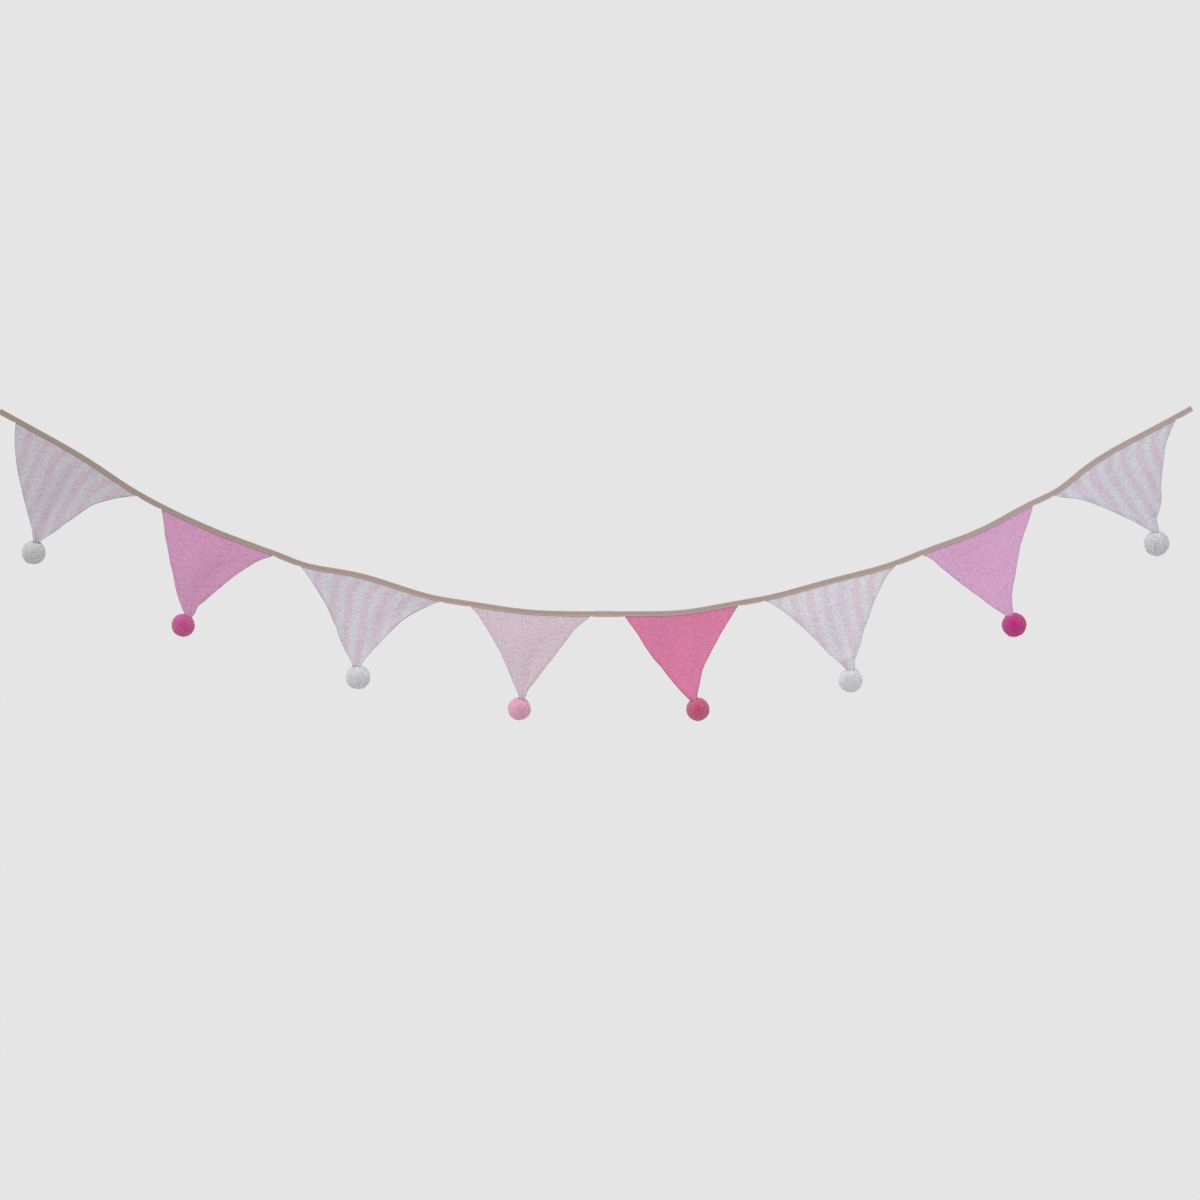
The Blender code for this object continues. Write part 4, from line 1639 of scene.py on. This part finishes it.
    def add_core(self, shape: bmesh.types.BMesh, reach: bmesh.types.BMLayerItem,
                 shade: bmesh.types.BMLayerItem) -> None:
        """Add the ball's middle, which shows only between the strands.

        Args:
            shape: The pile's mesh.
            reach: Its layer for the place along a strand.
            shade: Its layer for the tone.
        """
        radius = self.radius * self.core
        new = bmesh.ops.create_icosphere(shape, subdivisions=4, radius=radius)["verts"]
        neck, end = self.pennant.neck, self.pennant.neck_end()
        for vert in new:
            level = abs(vert.co.y + self.centre.y - neck.y) < self.core_slot
            beside = (abs(vert.co.x + self.centre.x - (neck.x + end.x) / 2)
                      < self.pennant.neck_width * self.slot_side)
            if vert.co.z > 0 and level and beside:
                vert.co *= self.core_dent
            vert.co += self.centre
            # The core is painted in the darker packed colour, painted shade between the strands.
            vert[reach] = self.core_shade
            vert[shade] = 1.0

    def build(self) -> None:
        pile = self.build_pile()
        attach(pile, BODY)
        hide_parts(f"pompom_{self.pennant.number}")
        LOG.info("pompom %d: %.1f mm across, %d faces", self.pennant.number, self.radius * 2000,
                 len(pile.data.polygons))


@dataclass
class Studio:
    """Plain backdrop, pale floor, soft light and a level camera square to the bunting."""
    backdrop: Colour = srgb(229, 229, 229)
    frame_width: float = 1.68
    frame_middle: float = 0.01582   # height of the frame's middle, by the pennants' own heights
    aim: Vector = field(default_factory=Vector)
    lens: float = 200.0
    sensor: float = 36.0
    sight: float = 60.0             # how far the camera sees
    floor_at: float = -1.25
    floor_size: float = 1.5
    floor_tones: Tuple[Colour, Colour] = (srgb(226, 226, 226), srgb(230, 230, 230))
    key_place: Tuple[float, float, float] = (-2.4, -3.6, 3.2)
    key_size: float = 2.6
    key_power: float = 105.0
    fill_place: Tuple[float, float, float] = (2.6, -3.6, 0.8)
    fill_size: float = 2.5
    fill_share: float = 0.20        # power of the fill light as a share of the key light's

    def build(self) -> None:
        """Make the floor, the lights, the world and the camera."""
        self.build_floor()
        self.build_world()
        self.build_light("key_light", Vector(self.key_place), self.key_size, self.key_power)
        self.build_light("fill_light", Vector(self.fill_place), self.fill_size,
                         self.key_power * self.fill_share)
        self.build_camera()
        bpy.context.scene.view_settings.view_transform = "Standard"

    def build_floor(self) -> None:
        """A pale floor, well below."""
        shape = bmesh.new()
        bmesh.ops.create_grid(shape, x_segments=1, y_segments=1, size=self.floor_size)
        bmesh.ops.translate(shape, verts=shape.verts, vec=(0.0, 0.0, self.floor_at))
        paint = Paint("floor_finish", roughness=0.8, sheen=0.0, specular=0.2)
        cloudy = paint.grain(paint.object_place(), 0.6, 0.6)
        floor = new_object("floor", shape, paint.finish(paint.blend(cloudy, *self.floor_tones)))

    def build_world(self) -> None:
        """The same soft light from all sides."""
        world = bpy.data.worlds.new("backdrop")
        world.use_nodes = True
        world.node_tree.nodes["Background"].inputs["Color"].default_value = (*self.backdrop, 1.0)
        bpy.context.scene.world = world

    def build_light(self, name: str, place: Vector, size: float, power: float) -> None:
        """Add one large soft light that faces the bunting.

        Args:
            name: Its name.
            place: Where it stands.
            size: Width of its face.
            power: Its power in watts.
        """
        light = bpy.data.lights.new(name, "AREA")
        light.size = size
        light.energy = power
        made = bpy.data.objects.new(name, light)
        made.location = place
        made.rotation_euler = (self.aim - place).to_track_quat("-Z", "Y").to_euler()
        bpy.context.scene.collection.objects.link(made)

    def build_camera(self) -> None:
        """A long lens in front of the middle of the frame."""
        camera = bpy.data.cameras.new("camera")
        camera.lens = self.lens
        camera.sensor_width = self.sensor
        camera.clip_end = self.sight
        made = bpy.data.objects.new("camera", camera)
        away = self.frame_width * self.lens / self.sensor
        made.location = self.aim + Vector((0.0, -away, 0.0))
        made.rotation_euler = (math.pi / 2, 0.0, 0.0)
        bpy.context.scene.collection.objects.link(made)
        bpy.context.scene.camera = made


CLOTHS = (
    ClothFinish("cloth_striped", Pattern.STRIPED, srgb(178, 175, 182), srgb(179, 161, 174)),
    ClothFinish("cloth_orchid", Pattern.PLAIN, srgb(188, 136, 170), srgb(192, 140, 174)),
    ClothFinish("cloth_striped", Pattern.STRIPED, srgb(193, 193, 199), srgb(194, 176, 190)),
    ClothFinish("cloth_pale_pink", Pattern.PLAIN, srgb(198, 179, 190), srgb(201, 183, 194)),
    ClothFinish("cloth_rose", Pattern.PLAIN, srgb(207, 119, 152), srgb(205, 119, 161)),
    ClothFinish("cloth_striped", Pattern.STRIPED, srgb(202, 202, 207), srgb(202, 186, 198)),
    ClothFinish("cloth_orchid", Pattern.PLAIN, srgb(201, 153, 189), srgb(204, 158, 192)),
    ClothFinish("cloth_striped", Pattern.STRIPED, srgb(195, 195, 202), srgb(194, 178, 194)),
)

# The second colour of each yarn is its painted side colour: a pale grey painted sheen on coloured
# yarn, a darker painted rim shade on white yarn.
YARNS = (
    YarnFinish("yarn_white", srgb(215, 215, 215), srgb(204, 203, 202)),
    YarnFinish("yarn_magenta", srgb(221, 88, 161), srgb(162, 172, 178)),
    YarnFinish("yarn_white", srgb(233, 233, 235), srgb(204, 204, 203)),
    YarnFinish("yarn_pink", srgb(246, 181, 209), srgb(198, 204, 206)),
    YarnFinish("yarn_rose", srgb(224, 92, 139), srgb(178, 190, 190)),
    YarnFinish("yarn_white", srgb(237, 237, 240), srgb(216, 215, 217)),
    YarnFinish("yarn_magenta", srgb(221, 46, 147), srgb(166, 168, 178)),
    YarnFinish("yarn_white", srgb(229, 228, 235), srgb(205, 204, 205)),
)

TAUPE = TapeFinish("tape", left=srgb(149, 133, 121), middle=srgb(164, 146, 137),
                   right=srgb(167, 152, 145), edge=srgb(182, 164, 156))


def main() -> None:
    """Build the studio, the tape, the pennants and the pompoms, in that order."""
    logging.basicConfig(level=logging.INFO, format="%(message)s")
    route = TapeRoute(HANGS)
    Studio(aim=Vector((0.0, 0.0, Studio.frame_middle + route.drop))).build()
    HeaderTape(route, TAUPE).build()
    for number, hang in enumerate(HANGS, start=1):
        pennant = Pennant(number, hang, route, CLOTHS[number - 1])
        pennant.build()
        Pompom(pennant, YARNS[number - 1]).build()


if __name__ == "__main__":
    main()
